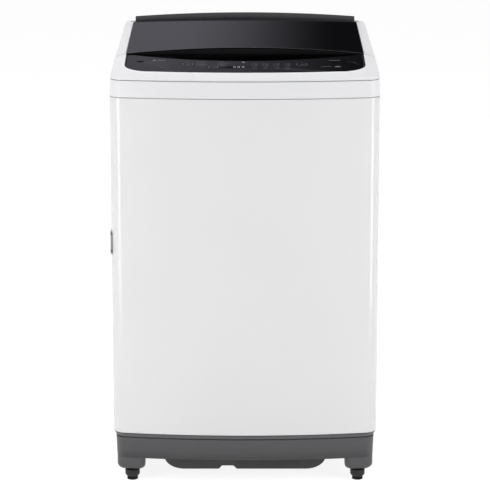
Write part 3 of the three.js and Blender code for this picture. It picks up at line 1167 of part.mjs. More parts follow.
// The belt follows the outer tangents of both grooves.
function driveBelt() {
  const loop = (grow) => {
    const large = PULLEY_RADIUS - BELT_THICKNESS + grow;
    const small = MOTOR_PULLEY_RADIUS - BELT_THICKNESS + grow;
    const tilt = Math.asin((large - small) / MOTOR_OFFSET);
    return [
      ...arc(0, MOTOR_Y, small, tilt, Math.PI - tilt, 7),
      ...arc(0, TUB_Y, large, Math.PI - tilt, 2 * Math.PI + tilt, 18),
    ];
  };
  const [low, high] = [PULLEY_MIDDLE - BELT_WIDTH / 2, PULLEY_MIDDLE + BELT_WIDTH / 2];
  return cut(prism(loop(BELT_THICKNESS), low, high), prism(loop(2 * GAP), low - 1, high + 1));
}

// ---------------------------------------------------------------- finishes and assembly

const finish = (color, roughness, metalness = 0) => ({ color, roughness, metalness });
const FINISHES = {
  whiteSteel: finish(0xe9eaec, 0.4),
  whitePlastic: finish(0xececee, 0.45),
  greyPlastic: finish(0x58585a, 0.6),
  darkPlastic: finish(0x1d1d20, 0.5),
  glossBlack: finish(0x2a2b2f, 0.15),
  tintedGlass: finish(0x3b3c41, 0.08),
  rubber: finish(0x0c0c0d, 0.9),
  tubPlastic: finish(0xd7d9da, 0.55),
  steel: finish(0xb9bcc0, 0.35, 1),
  castMetal: finish(0x8d9094, 0.55, 0.8),
  circuit: finish(0x1f5a3c, 0.6),
  bluePlastic: finish(0x9db7c6, 0.5),
};

const machine = new THREE.Group();
machine.name = 'top_load_washing_machine';

function add(name, solid, finishName, parent = machine) {
  const material = new THREE.MeshStandardMaterial({ name: finishName, ...FINISHES[finishName] });
  const mesh = new THREE.Mesh(geometryOf(solid), material);
  mesh.name = name;
  parent.add(mesh);
}

add('cabinet', cabinet(), 'whiteSteel');
add('back_cover', backCover(), 'steel');
add('base_frame', baseFrame(), 'greyPlastic');
add('bottom_cover', bottomCover(), 'greyPlastic');
add('side_grip', sideGrip(), 'whitePlastic');
add('top_cover', topCover(), 'whitePlastic');
add('control_housing', controlHousing(), 'whitePlastic');
add('control_fascia', controlFascia(), 'glossBlack');
add('control_board', controlBoard(), 'circuit');
add('finger_pocket', fingerPocket(), 'darkPlastic');
add('hinge_cover', hingeCover(), 'darkPlastic');
add('screw_plug_left', screwPlug(-1), 'rubber');
add('screw_plug_right', screwPlug(1), 'rubber');
for (const key of keyOutlines()) add(key.name, controlKey(key), 'glossBlack');

const lid = new THREE.Group();
lid.name = 'lid';
machine.add(lid);
add('lid_glass', lidGlass(), 'tintedGlass', lid);
add('lid_frame', lidFrame(), 'darkPlastic', lid);

add('cold_inlet_valve', inletValve(COLD_INLET_X), 'whitePlastic');
add('hot_inlet_valve', inletValve(HOT_INLET_X), 'whitePlastic');
add('cord_gland', cordGland(), 'darkPlastic');
add('drain_outlet', drainOutlet(), 'greyPlastic');
add('drawer_housing', drawerHousing(), 'whitePlastic');
add('detergent_drawer', detergentDrawer(), 'whitePlastic');

for (const corner of CORNERS) {
  add(`foot_${corner.name}`, foot(corner), 'greyPlastic');
  add(`foot_pad_${corner.name}`, footPad(corner), 'rubber');
  add(`suspension_rod_${corner.name}`, suspensionRod(corner), 'steel');
  add(`suspension_spring_${corner.name}`, suspensionSpring(corner), 'steel');
}

const suspended = new THREE.Group();
suspended.name = 'suspended_tub';
machine.add(suspended);
add('outer_tub', outerTub(), 'tubPlastic', suspended);
add('tub_cover', tubCover(), 'tubPlastic', suspended);
add('drain_valve', drainValve(), 'darkPlastic', suspended);
add('drive_plate', drivePlate(), 'steel', suspended);
add('clutch_housing', clutchHousing(), 'castMetal', suspended);
add('motor_housing', motorHousing(), 'castMetal', suspended);
add('drive_belt', driveBelt(), 'rubber', suspended);
add('basket', basket(), 'steel', suspended);
add('balance_ring', balanceRing(), 'tubPlastic', suspended);
add('basket_hub', basketHub(), 'castMetal', suspended);
add('lint_filter', lintFilter(), 'bluePlastic', suspended);
add('pulsator', pulsator(), 'bluePlastic', suspended);
add('pulsator_cap', pulsatorCap(), 'whitePlastic', suspended);
add('wash_shaft', washShaft(), 'steel', suspended);
add('drive_pulley', drivePulley(), 'castMetal', suspended);
add('motor_pulley', motorPulley(), 'castMetal', suspended);

export default machine;
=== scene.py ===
"""Finished looks of a top load washing machine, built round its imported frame.

Every length is in metres. X runs to the right, Y to the back and Z up from the floor.
"""

import logging
import math
from collections.abc import Sequence
from dataclasses import dataclass
from enum import Enum

import bmesh
import bpy
import numpy as np
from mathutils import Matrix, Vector


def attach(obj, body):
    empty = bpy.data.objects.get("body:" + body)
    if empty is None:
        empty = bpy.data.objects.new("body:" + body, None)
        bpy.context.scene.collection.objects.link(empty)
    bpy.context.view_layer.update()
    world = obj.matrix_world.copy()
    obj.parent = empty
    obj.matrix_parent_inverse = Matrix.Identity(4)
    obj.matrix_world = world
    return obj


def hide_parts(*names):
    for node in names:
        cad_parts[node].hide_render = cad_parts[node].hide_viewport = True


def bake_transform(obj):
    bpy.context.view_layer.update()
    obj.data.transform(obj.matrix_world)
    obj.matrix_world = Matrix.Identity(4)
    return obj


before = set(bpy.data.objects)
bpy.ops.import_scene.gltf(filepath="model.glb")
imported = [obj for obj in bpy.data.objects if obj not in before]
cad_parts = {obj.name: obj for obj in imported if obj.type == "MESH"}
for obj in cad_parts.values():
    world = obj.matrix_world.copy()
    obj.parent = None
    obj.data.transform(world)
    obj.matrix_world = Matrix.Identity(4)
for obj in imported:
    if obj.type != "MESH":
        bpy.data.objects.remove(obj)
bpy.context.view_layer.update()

LOG = logging.getLogger("washing_machine")
TURN = 2 * math.pi
QUARTER = math.pi / 2
MERGE_DISTANCE = 2e-6
FLAT_ANGLE = 0.6
TUB_Y = 0.012
ROD_PLACE = (0.225, 0.215)
Array = np.ndarray
Piece = bpy.types.Object
Socket = bpy.types.NodeSocket
Pair = tuple[float, float]
Profile = tuple[Pair, ...]
CORNERS = {"front_left": (-1, -1), "front_right": (1, -1), "rear_left": (-1, 1), "rear_right": (1, 1)}


# -------------------- shared effects


def srgb(red: int, green: int, blue: int) -> tuple[float, float, float, float]:
    """The linear colour of an sRGB triple: below 0.04045 a straight line, above it a power of 2.4.

    Args:
        red: red, from 0 to 255.
        green: green.
        blue: blue.

    Returns:
        The linear colour with an alpha of 1.
    """
    share = np.array([red, green, blue]) / 255
    linear = np.where(share <= 0.04045, share / 12.92, ((share + 0.055) / 1.055) ** 2.4)
    return (*linear.tolist(), 1.0)


class NodeMaker:
    """Adds nodes to one tree and links them."""

    def __init__(self, tree: bpy.types.NodeTree) -> None:
        """Args:
            tree: the node tree to fill.
        """
        self.tree = tree

    def add(self, kind: str, **values: object) -> bpy.types.Node:
        """Adds one node.

        Args:
            kind: the node's type name.
            values: attributes by name, or input sockets by name with spaces as underscores; a value
                that is itself a socket is linked.

        Returns:
            The new node.
        """
        node = self.tree.nodes.new(kind)
        for name, value in values.items():
            if hasattr(node, name) and name != "inputs":
                setattr(node, name, value)
                continue
            socket = node.inputs[int(name[1:])] if name[0] == "i" and name[1:].isdigit() \
                else node.inputs[name.replace("_", " ")]
            if isinstance(value, Socket):
                self.link(value, socket)
            else:
                socket.default_value = value
        return node

    def link(self, source: Socket, target: Socket) -> None:
        """Joins an output to an input."""
        self.tree.links.new(source, target)

    def math(self, operation: str, *terms: float | Socket, clamp: bool = False) -> Socket:
        """The result of a sum on numbers or sockets.

        Args:
            operation: the kind of sum.
            terms: what it is done on, in order.
            clamp: whether the result stays between 0 and 1.

        Returns:
            The result.
        """
        inputs = {f"i{place}": term for place, term in enumerate(terms)}
        return self.add("ShaderNodeMath", operation=operation, use_clamp=clamp, **inputs).outputs[0]

    def ramp(self, value: Socket, span: tuple[float, float | Socket], ends: Pair = (0.0, 1.0),
             smooth: bool = False) -> Socket:
        """Maps a value on a span to a value between two ends.

        Args:
            value: what is mapped.
            span: the values that give the two ends.
            ends: the results there.
            smooth: whether the ramp eases in and out.

        Returns:
            The result.
        """
        return self.add("ShaderNodeMapRange", interpolation_type="SMOOTHSTEP" if smooth else "LINEAR",
                        Value=value, From_Min=span[0], From_Max=span[1], To_Min=ends[0],
                        To_Max=ends[1]).outputs[0]

    def mix(self, share: float | Socket, first: float | Socket, second: float | Socket) -> Socket:
        """Two numbers mixed by a share of the second."""
        return self.add("ShaderNodeMix", i0=share, i2=first, i3=second).outputs[0]

    def mix_colours(self, share: Socket, first: Socket | Sequence[float],
                    second: Socket | Sequence[float]) -> Socket:
        """Two colours mixed by a share of the second."""
        return self.add("ShaderNodeMix", data_type="RGBA", i0=share, i6=first, i7=second).outputs[2]


def cleared(owner: bpy.types.Material | bpy.types.World) -> NodeMaker:
    """Gives a material or a world an empty node tree.

    Args:
        owner: the material or world.

    Returns:
        A maker for its nodes.
    """
    owner.use_nodes = True
    owner.node_tree.nodes.clear()
    return NodeMaker(owner.node_tree)


def group(name: str, inputs: dict[str, float], *outputs: str) \
        -> tuple[NodeMaker, bpy.types.NodeOutputs, bpy.types.Node]:
    """Starts a shader node group with a vector input, float inputs and float outputs.

    Args:
        name: the group's name.
        inputs: default value of each float input.
        outputs: name of each output.

    Returns:
        A maker for its nodes, what comes into it and the node that takes what leaves it.
    """
    tree = bpy.data.node_groups.new(name, "ShaderNodeTree")
    tree.interface.new_socket("Vector", in_out="INPUT", socket_type="NodeSocketVector")
    for label, value in inputs.items():
        socket = tree.interface.new_socket(label, in_out="INPUT", socket_type="NodeSocketFloat")
        socket.default_value = value
    for label in outputs:
        tree.interface.new_socket(label, in_out="OUTPUT", socket_type="NodeSocketFloat")
    make = NodeMaker(tree)
    return make, make.add("NodeGroupInput").outputs, make.add("NodeGroupOutput")


class Effects:
    """The node groups that several finishes share, each built once."""

    def __init__(self) -> None:
        """Builds the three groups."""
        self.grain = self._build_grain()
        self.brushed = self._build_brushed()
        self.dust = self._build_dust()

    @staticmethod
    def _build_grain() -> bpy.types.NodeTree:
        """Fine surface grain: two scales of noise for the height and one large one for slow shade changes.

        Returns:
            A group with Height and Shade outputs, both about 0.5.
        """
        make, source, sink = group("surface_grain", {"Scale": 900.0, "Cloud Scale": 5.0, "Coarseness": 0.3},
                                   "Height", "Shade")
        place, scale = source["Vector"], source["Scale"]
        fine = make.add("ShaderNodeTexNoise", Vector=place, Scale=scale, Detail=3.0, Roughness=0.6)
        coarse = make.math("MULTIPLY", scale, 0.13)
        wide = make.add("ShaderNodeTexNoise", Vector=place, Scale=coarse, Detail=1.0)
        cloud = make.add("ShaderNodeTexNoise", Vector=place, Scale=source["Cloud Scale"], Detail=2.0)
        height = make.mix(source["Coarseness"], fine.outputs[0], wide.outputs[0])
        make.link(height, sink.inputs["Height"])
        make.link(cloud.outputs[0], sink.inputs["Shade"])
        return make.tree

    @staticmethod
    def _build_brushed() -> bpy.types.NodeTree:
        """Brushed lines: noise on coordinates that are squeezed along the brushing direction.

        Returns:
            A group with a Lines output about 0.5.
        """
        make, source, sink = group("brushed_lines", {"Along": 6.0, "Across": 900.0, "Turn": 0.0}, "Lines")
        turned_place = make.add("ShaderNodeVectorRotate", rotation_type="Y_AXIS", Vector=source["Vector"],
                                Angle=source["Turn"])
        stretch = make.add("ShaderNodeCombineXYZ", X=source["Along"], Y=source["Along"], Z=source["Across"])
        scaled = make.add("ShaderNodeVectorMath", operation="MULTIPLY", i0=turned_place.outputs[0],
                          i1=stretch.outputs[0])
        lines = make.add("ShaderNodeTexNoise", Vector=scaled.outputs[0], Scale=1.0, Detail=2.0)
        make.link(lines.outputs[0], sink.inputs["Lines"])
        return make.tree

    @staticmethod
    def _build_dust() -> bpy.types.NodeTree:
        """Settled dust: strongest near the floor and broken up by noise.

        Returns:
            A group with a Mask output from 0 to 1.
        """
        make, source, sink = group("settled_dust", {"Height": 0.12, "Amount": 0.5}, "Mask")
        parts = make.add("ShaderNodeSeparateXYZ", Vector=source["Vector"])
        low = make.ramp(parts.outputs["Z"], (0.0, source["Height"]), (1.0, 0.0))
        noise = make.add("ShaderNodeTexNoise", Vector=source["Vector"], Scale=38.0, Detail=4.0)
        mask = make.math("MULTIPLY", low, make.ramp(noise.outputs[0], (0.4, 0.7)))
        make.link(make.math("MULTIPLY", mask, source["Amount"], clamp=True), sink.inputs["Mask"])
        return make.tree


EFFECTS = Effects()


# -------------------- finishes


BUILT: dict[str, bpy.types.Material] = {}
SHADE_SPAN = (0.3, 0.7)
BRUSH_WANDER = 0.1
DUST_COLOUR = (168, 164, 158)


@dataclass(frozen=True)
class Finish:
    """One finish: a base colour with slow shade changes, fine grain and settled dust."""

    name: str
    colour: tuple[int, int, int]
    rough: Pair = (0.38, 0.46)
    metal: float = 0.0
    specular: float = 0.5
    ior: float = 1.45
    coat: float = 0.0
    coat_rough: float = 0.1
    grain_scale: float = 1500.0
    grain_coarse: float = 0.3
    grain_depth: float = 0.05
    grain_distance: float = 0.0004
    shade: float = 0.03
    dust: float = 0.0
    brushed: float = 0.0
    brushed_across: float = 1100.0
    alpha: float = 1.0

    def material(self) -> bpy.types.Material:
        """Builds the finish's material, or returns it if it is built.

        Returns:
            The material.
        """
        if self.name in BUILT:
            return BUILT[self.name]
        material = BUILT[self.name] = bpy.data.materials.new(self.name)
        make = cleared(material)
        shader = make.add("ShaderNodeBsdfPrincipled", Metallic=self.metal, IOR=self.ior,
                          Specular_IOR_Level=self.specular, Coat_Weight=self.coat,
                          Coat_Roughness=self.coat_rough, Alpha=self.alpha)
        make.link(shader.outputs[0], make.add("ShaderNodeOutputMaterial").inputs[0])
        place = make.add("ShaderNodeTexCoord").outputs["Object"]
        grain = make.add("ShaderNodeGroup", node_tree=EFFECTS.grain, Vector=place, Scale=self.grain_scale,
                         Coarseness=self.grain_coarse)
        height, shade = grain.outputs["Height"], grain.outputs["Shade"]
        rough = make.ramp(shade, SHADE_SPAN, self.rough)
        if self.brushed:
            lines = make.add("ShaderNodeGroup", node_tree=EFFECTS.brushed, Vector=place,
                             Across=self.brushed_across).outputs[0]
            height = make.mix(self.brushed, height, lines)
            wander = make.math("MULTIPLY_ADD", lines, 2 * BRUSH_WANDER * self.brushed,
                               -BRUSH_WANDER * self.brushed)
            rough = make.math("ADD", rough, wander, clamp=True)
        bump = make.add("ShaderNodeBump", Strength=self.grain_depth, Distance=self.grain_distance,
                        Height=height)
        make.link(self.colour_socket(make, shade, place), shader.inputs["Base Color"])
        make.link(rough, shader.inputs["Roughness"])
        make.link(bump.outputs[0], shader.inputs["Normal"])
        return material

    def colour_socket(self, make: NodeMaker, shade: Socket, place: Socket) -> Socket:
        """The base colour with its slow shade changes and dust.

        Args:
            make: the maker of the material's nodes.
            shade: a mask about 0.5 that changes slowly over the surface.
            place: the object coordinates.

        Returns:
            A colour socket.
        """
        plain = srgb(*self.colour)[:3]
        dark, light = ((*(min(part * share, 1.0) for part in plain), 1.0)
                       for share in (1 - self.shade, 1 + self.shade))
        mixed = make.mix_colours(make.ramp(shade, SHADE_SPAN), dark, light)
        if not self.dust:
            return mixed
        mask = make.add("ShaderNodeGroup", node_tree=EFFECTS.dust, Vector=place, Amount=self.dust)
        return make.mix_colours(mask.outputs[0], mixed, srgb(*DUST_COLOUR))


WHITE_PAINT = Finish("white_paint", (231, 231, 232), (0.22, 0.27), grain_scale=420.0, grain_coarse=0.5,
                     grain_depth=0.06, shade=0.006, coat=0.4, coat_rough=0.12)
WHITE_MOULDING = Finish("white_moulding", (233, 233, 235), (0.30, 0.36), grain_scale=1300.0,
                        grain_depth=0.07, shade=0.006)
BASE_GREY = Finish("base_grey", (80, 80, 82), (0.40, 0.48), grain_depth=0.16, shade=0.02, dust=0.03)
# A lighter copy of the base grey for the flared lip: painted light where the lip faces up to the lamps.
BASE_LIP_LIT = Finish("base_lip_lit", (96, 96, 98), (0.40, 0.48), grain_depth=0.16, shade=0.02)
TROUGH_GREY = Finish("trough_grey", (52, 52, 54), (0.45, 0.55), grain_depth=0.18, dust=0.05)
FOOT_GREY = Finish("foot_grey", (18, 18, 21), (0.5, 0.6), grain_depth=0.15, dust=0.04)
DARK_MOULDING = Finish("dark_moulding", (30, 30, 33), (0.36, 0.44), grain_scale=1400.0, grain_depth=0.12,
                       shade=0.05)
LID_FRAME_BLACK = Finish("lid_frame_black", (24, 24, 27), (0.3, 0.4), specular=0.25, grain_scale=1400.0,
                         grain_depth=0.1, shade=0.05)
BAND_GREY = Finish("band_grey", (62, 62, 66), (0.22, 0.28), grain_depth=0.08)
POCKET_BLACK = Finish("pocket_black", (4, 4, 5), (0.6, 0.7), specular=0.08, grain_scale=1400.0,
                      grain_depth=0.12, shade=0.05)
GLOSS_BLACK = Finish("panel_gloss_black", (12, 12, 15), (0.04, 0.06), specular=0.43, grain_scale=260.0,
                     grain_depth=0.015)
RUBBER = Finish("foot_rubber", (10, 10, 11), (0.75, 0.9), specular=0.3, grain_scale=1200.0,
                grain_depth=0.35, shade=0.12, dust=0.04)
TUB_GREY = Finish("tub_grey", (208, 211, 212), (0.42, 0.52), grain_scale=1000.0, grain_depth=0.1,
                  shade=0.012)
BASKET_STEEL = Finish("drum_steel", (196, 198, 200), (0.22, 0.3), metal=1.0, grain_scale=700.0,
                      grain_depth=0.06, shade=0.02, brushed=0.75)
ZINC_STEEL = Finish("zinc_steel", (184, 187, 190), (0.36, 0.5), metal=1.0, grain_scale=180.0,
                    grain_coarse=0.7, grain_depth=0.12, shade=0.08)
CAST_METAL = Finish("cast_metal", (150, 152, 155), (0.45, 0.6), metal=1.0, grain_scale=520.0,
                    grain_coarse=0.6, grain_depth=0.4, shade=0.08)
CIRCUIT_GREEN = Finish("circuit_green", (32, 92, 58), (0.35, 0.5), grain_scale=300.0, grain_depth=0.25,
                       shade=0.1)
PALE_BLUE = Finish("pale_blue", (158, 184, 198), (0.36, 0.46), grain_scale=1200.0, grain_depth=0.1,
                   shade=0.015)
SMOKED_GLASS = Finish("smoked_glass", (12, 12, 15), (0.03, 0.05), grain_scale=120.0, grain_depth=0.01,
                      ior=1.5, alpha=0.965)
# Paler grey for the glass's rounded edges: a painted highlight.
GLASS_EDGE_HIGHLIGHT = Finish("glass_edge_highlight", (116, 117, 123), (0.25, 0.35), grain_scale=900.0, grain_depth=0.03)
# Near-black dull finish for the glass's wall: painted shade in place of the reflection it would catch.
GLASS_WALL_SHADE = Finish("glass_wall_shade", (6, 6, 7), (0.5, 0.6), specular=0.08, grain_scale=900.0, grain_depth=0.03)
# Grey for strips of painted shade in the crease under the panel and along the joints beside the lid.
CREASE_SHADE_GREY = Finish("crease_shade_grey", (112, 112, 115), (0.4, 0.5), grain_scale=1300.0, grain_depth=0.07)
# Grey for a ring of painted shadow in the seam under the top cover.
SEAM_SHADOW_GREY = Finish("seam_shadow_grey", (122, 122, 125), (0.5, 0.6), grain_scale=1300.0, grain_depth=0.07)
PRINT_WHITE = Finish("print_white", (238, 240, 243), (0.35, 0.45))
PRINT_GREY = Finish("print_grey", (112, 113, 118), (0.3, 0.4))


# -------------------- meshes


class MeshMaker:
    """Collects grids of points and turns them into one object."""

    def __init__(self) -> None:
        """Starts empty."""
        self.points: list[Array] = []
        self.faces: list[list[int]] = []
        self.tags: list[int] = []
        self.count = 0

    def grid(self, surface: Array, wrap_columns: bool = False, wrap_rows: bool = False,
             caps: tuple[bool, bool] = (False, False), keep: Array | None = None, flip: bool = False,
             tag: int = 0) -> "MeshMaker":
        """Adds a surface given as rows and columns of points, one quad between four neighbours.

        Args:
            surface: points of shape (rows, columns, 3).
            wrap_columns: joins the last column to the first.
            wrap_rows: joins the last row to the first.
            caps: closes the first and the last row with one flat face each.
            keep: mask of shape (row steps, column steps) of the faces to make.
            flip: turns the faces round.
            tag: material slot of the faces.

        Returns:
            The maker itself.
        """
        rows, columns = surface.shape[:2]
        index = np.arange(rows * columns).reshape(rows, columns) + self.count
        wide = np.concatenate([index, index[:, :1]], 1) if wrap_columns else index
        full = np.concatenate([wide, wide[:1]], 0) if wrap_rows else wide
        quads = np.stack([full[:-1, :-1], full[:-1, 1:], full[1:, 1:], full[1:, :-1]], -1)
        if keep is not None:
            quads = quads[keep]
        quads = quads.reshape(-1, 4)
        made = (quads[:, ::-1] if flip else quads).tolist()
        for row, wanted, turn in ((0, caps[0], not flip), (rows - 1, caps[1], flip)):
            if wanted:
                made.append(index[row][::-1 if turn else 1].tolist())
        self.points.append(surface.reshape(-1, 3))
        self.count += rows * columns
        self.faces += made
        self.tags += [tag] * len(made)
        return self

    def solid(self, rings: Array, flip: bool = False, tag: int = 0) -> "MeshMaker":
        """Adds closed rings of points, one row each, with both ends capped."""
        return self.grid(rings, wrap_columns=True, caps=(True, True), flip=flip, tag=tag)

    def loop(self, rings: Array) -> "MeshMaker":
        """Adds closed rings of points, one row each, of which the last joins the first."""
        return self.grid(rings, wrap_columns=True, wrap_rows=True)

    def patch(self, points: Array, faces: Array) -> None:
        """Adds loose points and faces that index them.

        Args:
            points: points of shape (n, 3).
            faces: indices of shape (faces, corners).
        """
        used, renumbered = np.unique(faces, return_inverse=True)
        self.points.append(points[used])
        self.faces += (renumbered.reshape(faces.shape) + self.count).tolist()
        self.tags += [0] * len(faces)
        self.count += len(used)

    def object(self, name: str, *finishes: "Finish | FloorFinish", angle: float = 35.0) -> Piece:
        """Makes the object of everything added so far.

        Args:
            name: the piece's name.
            finishes: one finish for each material slot.
            angle: edges sharper than this many degrees stay crisp.

        Returns:
            The new object, linked to the scene.
        """
        mesh = bpy.data.meshes.new(name)
        mesh.from_pydata(np.concatenate(self.points).tolist(), [], self.faces)
        mesh.polygons.foreach_set("material_index", np.array(self.tags, np.int32))
        mesh.update()
        return dressed(name, mesh, finishes, angle)


def linked(name: str, data: bpy.types.ID) -> Piece:
    """Makes an object of a mesh, a lamp or a camera and links it to the scene.

    Args:
        name: the object's name.
        data: what it holds.

    Returns:
        The new object.
    """
    made = bpy.data.objects.new(name, data)
    bpy.context.scene.collection.objects.link(made)
    return made


def dressed(name: str, mesh: bpy.types.Mesh, finishes: "Sequence[Finish | FloorFinish]",
            angle: float) -> Piece:
    """Gives a mesh its finishes and smooth shading and makes its object.

    Args:
        name: the piece's name.
        mesh: its mesh.
        finishes: one finish for each material slot.
        angle: edges sharper than this many degrees stay crisp.

    Returns:
        The new object, linked to the scene.
    """
    for finish in finishes:
        mesh.materials.append(finish.material())
    mesh.polygons.foreach_set("use_smooth", np.ones(len(mesh.polygons), bool))
    mesh.set_sharp_from_angle(angle=math.radians(angle))
    return linked(name, mesh)


def show(piece: Piece, body: str, slot: str, *nodes: str) -> None:
    """Puts a piece on its body and hides the CAD nodes that it replaces.

    Args:
        piece: the piece.
        body: the CAD body that it rides on.
        slot: the record's material slot; not used.
        nodes: the CAD nodes that it replaces.
    """
    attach(piece, body)
    if nodes:
        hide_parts(*nodes)
    LOG.info("%s on %s, %d faces", piece.name, body, len(piece.data.polygons))


def bevelled(piece: Piece, width: float, segments: int = 2, angle: float = 30.0) -> Piece:
    """Rounds a piece's sharp edges with a bevel modifier.

    Args:
        piece: the piece.
        width: width of the rounding.
        segments: its facets.
        angle: edges sharper than this many degrees are rounded.

    Returns:
        The piece.
    """
    bevel = piece.modifiers.new("edge_rounding", "BEVEL")
    bevel.width = width
    bevel.segments = segments
    bevel.limit_method = "ANGLE"
    bevel.angle_limit = math.radians(angle)
    bevel.miter_outer = "MITER_ARC"
    bevel.harden_normals = True
    return piece


def walled(piece: Piece, thickness: float) -> Piece:
    """Gives an open surface a wall on its inner side, with a crisp edge round each hole.

    Args:
        piece: the surface.
        thickness: the wall's thickness.

    Returns:
        The piece.
    """
    mesh = piece.data
    used = np.empty(len(mesh.loops), np.int32)
    mesh.loops.foreach_get("edge_index", used)
    crisp = np.empty(len(mesh.edges), bool)
    mesh.edges.foreach_get("use_edge_sharp", crisp)
    crisp |= np.bincount(used, minlength=len(mesh.edges)) == 1
    mesh.edges.foreach_set("use_edge_sharp", crisp)
    wall = piece.modifiers.new("wall", "SOLIDIFY")
    wall.thickness = thickness
    wall.offset = -1.0
    wall.use_even_offset = True
    wall.use_rim = True
    return piece


def weld(mesh: bpy.types.Mesh, flat: float = 0.0) -> None:
    """Joins a mesh's points that lie in the same place, and faces that lie in one plane.

    Args:
        mesh: the mesh.
        flat: faces that turn by less than this many degrees are joined; none at zero.
    """
    work = bmesh.new()
    work.from_mesh(mesh)
    bmesh.ops.remove_doubles(work, verts=work.verts, dist=MERGE_DISTANCE)
    if flat:
        bmesh.ops.dissolve_limit(work, angle_limit=math.radians(flat), verts=work.verts, edges=work.edges,
                                 delimit={"NORMAL"})
    work.to_mesh(mesh)
    work.free()


def merged(piece: Piece) -> Piece:
    """Joins a piece's points that lie in the same place."""
    weld(piece.data)
    return piece


def refined(node: str, name: str, finish: Finish, width: float, segments: int,
            angle: float = 28.0) -> Piece:
    """A copy of a CAD node with merged points, flat areas joined into one face and rounded edges.

    Args:
        node: the CAD node.
        name: the new piece's name.
        finish: its finish.
        width: width of the rounding.
        segments: facets of the rounding.
        angle: edges sharper than this many degrees are rounded.

    Returns:
        The new object.
    """
    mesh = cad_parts[node].data.copy()
    mesh.name = name
    weld(mesh, flat=FLAT_ANGLE)
    mesh.materials.clear()
    mesh.polygons.foreach_set("material_index", np.zeros(len(mesh.polygons), np.int32))
    return bevelled(dressed(name, mesh, (finish,), angle), width, segments, angle)


def carried(node: str, name: str, finish: Finish, width: float, segments: int, body: str, slot: str,
            angle: float = 28.0) -> None:
    """Shows a refined copy of a CAD node in the node's place, see refined and show."""
    show(refined(node, name, finish, width, segments, angle), body, slot, node)


# -------------------- plan outline


def arc(x: float, y: float, radius: float, start: float, end: float, steps: int) -> Array:
    """Points on a circle's arc: the centre plus the radius times cosine and sine of even angles."""
    angle = np.linspace(start, end, steps + 1)
    return np.stack([x + radius * np.cos(angle), y + radius * np.sin(angle)], -1)


def ramped(value: Array, start: float, length: float) -> Array:
    """How far a value is along a stretch that begins at a start, from 0 to 1."""
    return np.clip((value - start) / length, 0, 1)


def round_angles(columns: int) -> Array:
    """Even angles once round, without the last one that would repeat the first."""
    return np.linspace(0, TURN, columns, endpoint=False)


def quadratic(t: Array, start: Array, bend: Array, end: Array) -> Array:
    """A quadratic curve: three points weighted by (1 - t) squared, 2 t (1 - t) and t squared."""
    return (1 - t) ** 2 * start + 2 * t * (1 - t) * bend + t ** 2 * end


def lifted(outline: Array, height: Array | float) -> Array:
    """A plan outline as points in space, each at its height."""
    heights = np.broadcast_to(np.asarray(height, float), outline.shape[:1])
    return np.concatenate([outline, heights[:, None]], 1)


def spread(x: Array | float, y: Array | float, z: Array | float) -> Array:
    """Points in space from three coordinates, each stretched over the whole grid."""
    return np.stack(np.broadcast_arrays(x, y, z), -1)


def laid_back(shape: Array, x: float, y: float, z: float) -> Array:
    """A shape turned about the vertical through the origin, laid down so that it points to the back."""
    return spread(x - shape[..., 0], y + shape[..., 2], z + shape[..., 1])


def border(face: Array) -> Array:
    """The border of a grid of points, once round from its first corner."""
    return np.concatenate([face[0], face[1:, -1], face[-1, -2::-1], face[-2:0:-1, 0]])


def stretch_of(outline: Array, wanted: Array) -> Array:
    """The one unbroken stretch of a closed outline whose points a mask picks."""
    start = int(np.flatnonzero(wanted & ~np.roll(wanted, 1))[0])
    return np.roll(outline, -start, 0)[:int(wanted.sum())]


@dataclass(frozen=True)
class Plan:
    """The machine's outline in plan: a bowed front, round corners, straight sides and back."""

    half_width: float = 0.270
    half_depth: float = 0.270
    bow_radius: float = 1.5
    front_radius: float = 0.028
    rear_radius: float = 0.040
    bow_steps: int = 72
    corner_steps: int = 14
    back_from: float = 0.26
    left_from: float = -0.24

    def outline(self, inset: float = 0.0, cuts: Sequence[tuple[int, float]] = ()) -> Array:
        """The closed outline, anticlockwise from the front left corner.

        The front is an arc about a centre far behind it; each corner arc meets it, or the straight
        sides, along a common tangent; an inset takes the same length off every radius.

        Args:
            inset: distance in from the outer face.
            cuts: extra points, each by the step it lies on and its share of that step.

        Returns:
            Points of shape (n, 2).
        """
        bow_y = self.bow_radius - self.half_depth
        corner_x = self.half_width - self.front_radius
        reach = self.bow_radius - self.front_radius
        swing = math.asin(corner_x / reach)
        corner_y = bow_y - reach * math.cos(swing)
        rear_x, rear_y = self.half_width - self.rear_radius, self.half_depth - self.rear_radius
        front, rear = self.front_radius - inset, self.rear_radius - inset
        points = np.concatenate([
            arc(0, bow_y, self.bow_radius - inset, -QUARTER - swing, -QUARTER + swing, self.bow_steps),
            arc(corner_x, corner_y, front, -QUARTER + swing, 0, self.corner_steps)[1:],
            arc(rear_x, rear_y, rear, 0, QUARTER, self.corner_steps),
            arc(-rear_x, rear_y, rear, QUARTER, 2 * QUARTER, self.corner_steps),
            arc(-corner_x, corner_y, front, 2 * QUARTER, 3 * QUARTER - swing, self.corner_steps)[:-1],
        ])
        if not len(cuts):
            return points
        step, share = np.array([cut[0] for cut in cuts], int), np.array([[cut[1]] for cut in cuts])
        extra = points[step] + share * (points[(step + 1) % len(points)] - points[step])
        return np.insert(points, step + 1, extra, axis=0)

    def cuts(self, back: Sequence[float], left: Sequence[float]) -> list[tuple[int, float]]:
        """Where the outline crosses given lines.

        Args:
            back: places along the back wall, by X.
            left: places along the left wall, by Y.

        Returns:
            The step and its share of every crossing, in order round the outline.
        """
        points = self.outline()
        following = np.roll(points, -1, 0)
        middle = (points + following) / 2
        found = []
        for axis, places, on_wall in ((0, back, middle[:, 1] > self.back_from),
                                      (1, left, middle[:, 0] < self.left_from)):
            for place in places:
                start, end = points[:, axis] - place, following[:, axis] - place
                step = int(np.flatnonzero(on_wall & (start * end < 0))[0])
                found.append((step, float(start[step] / (start[step] - end[step]))))
        return sorted(found)


PLAN = Plan()


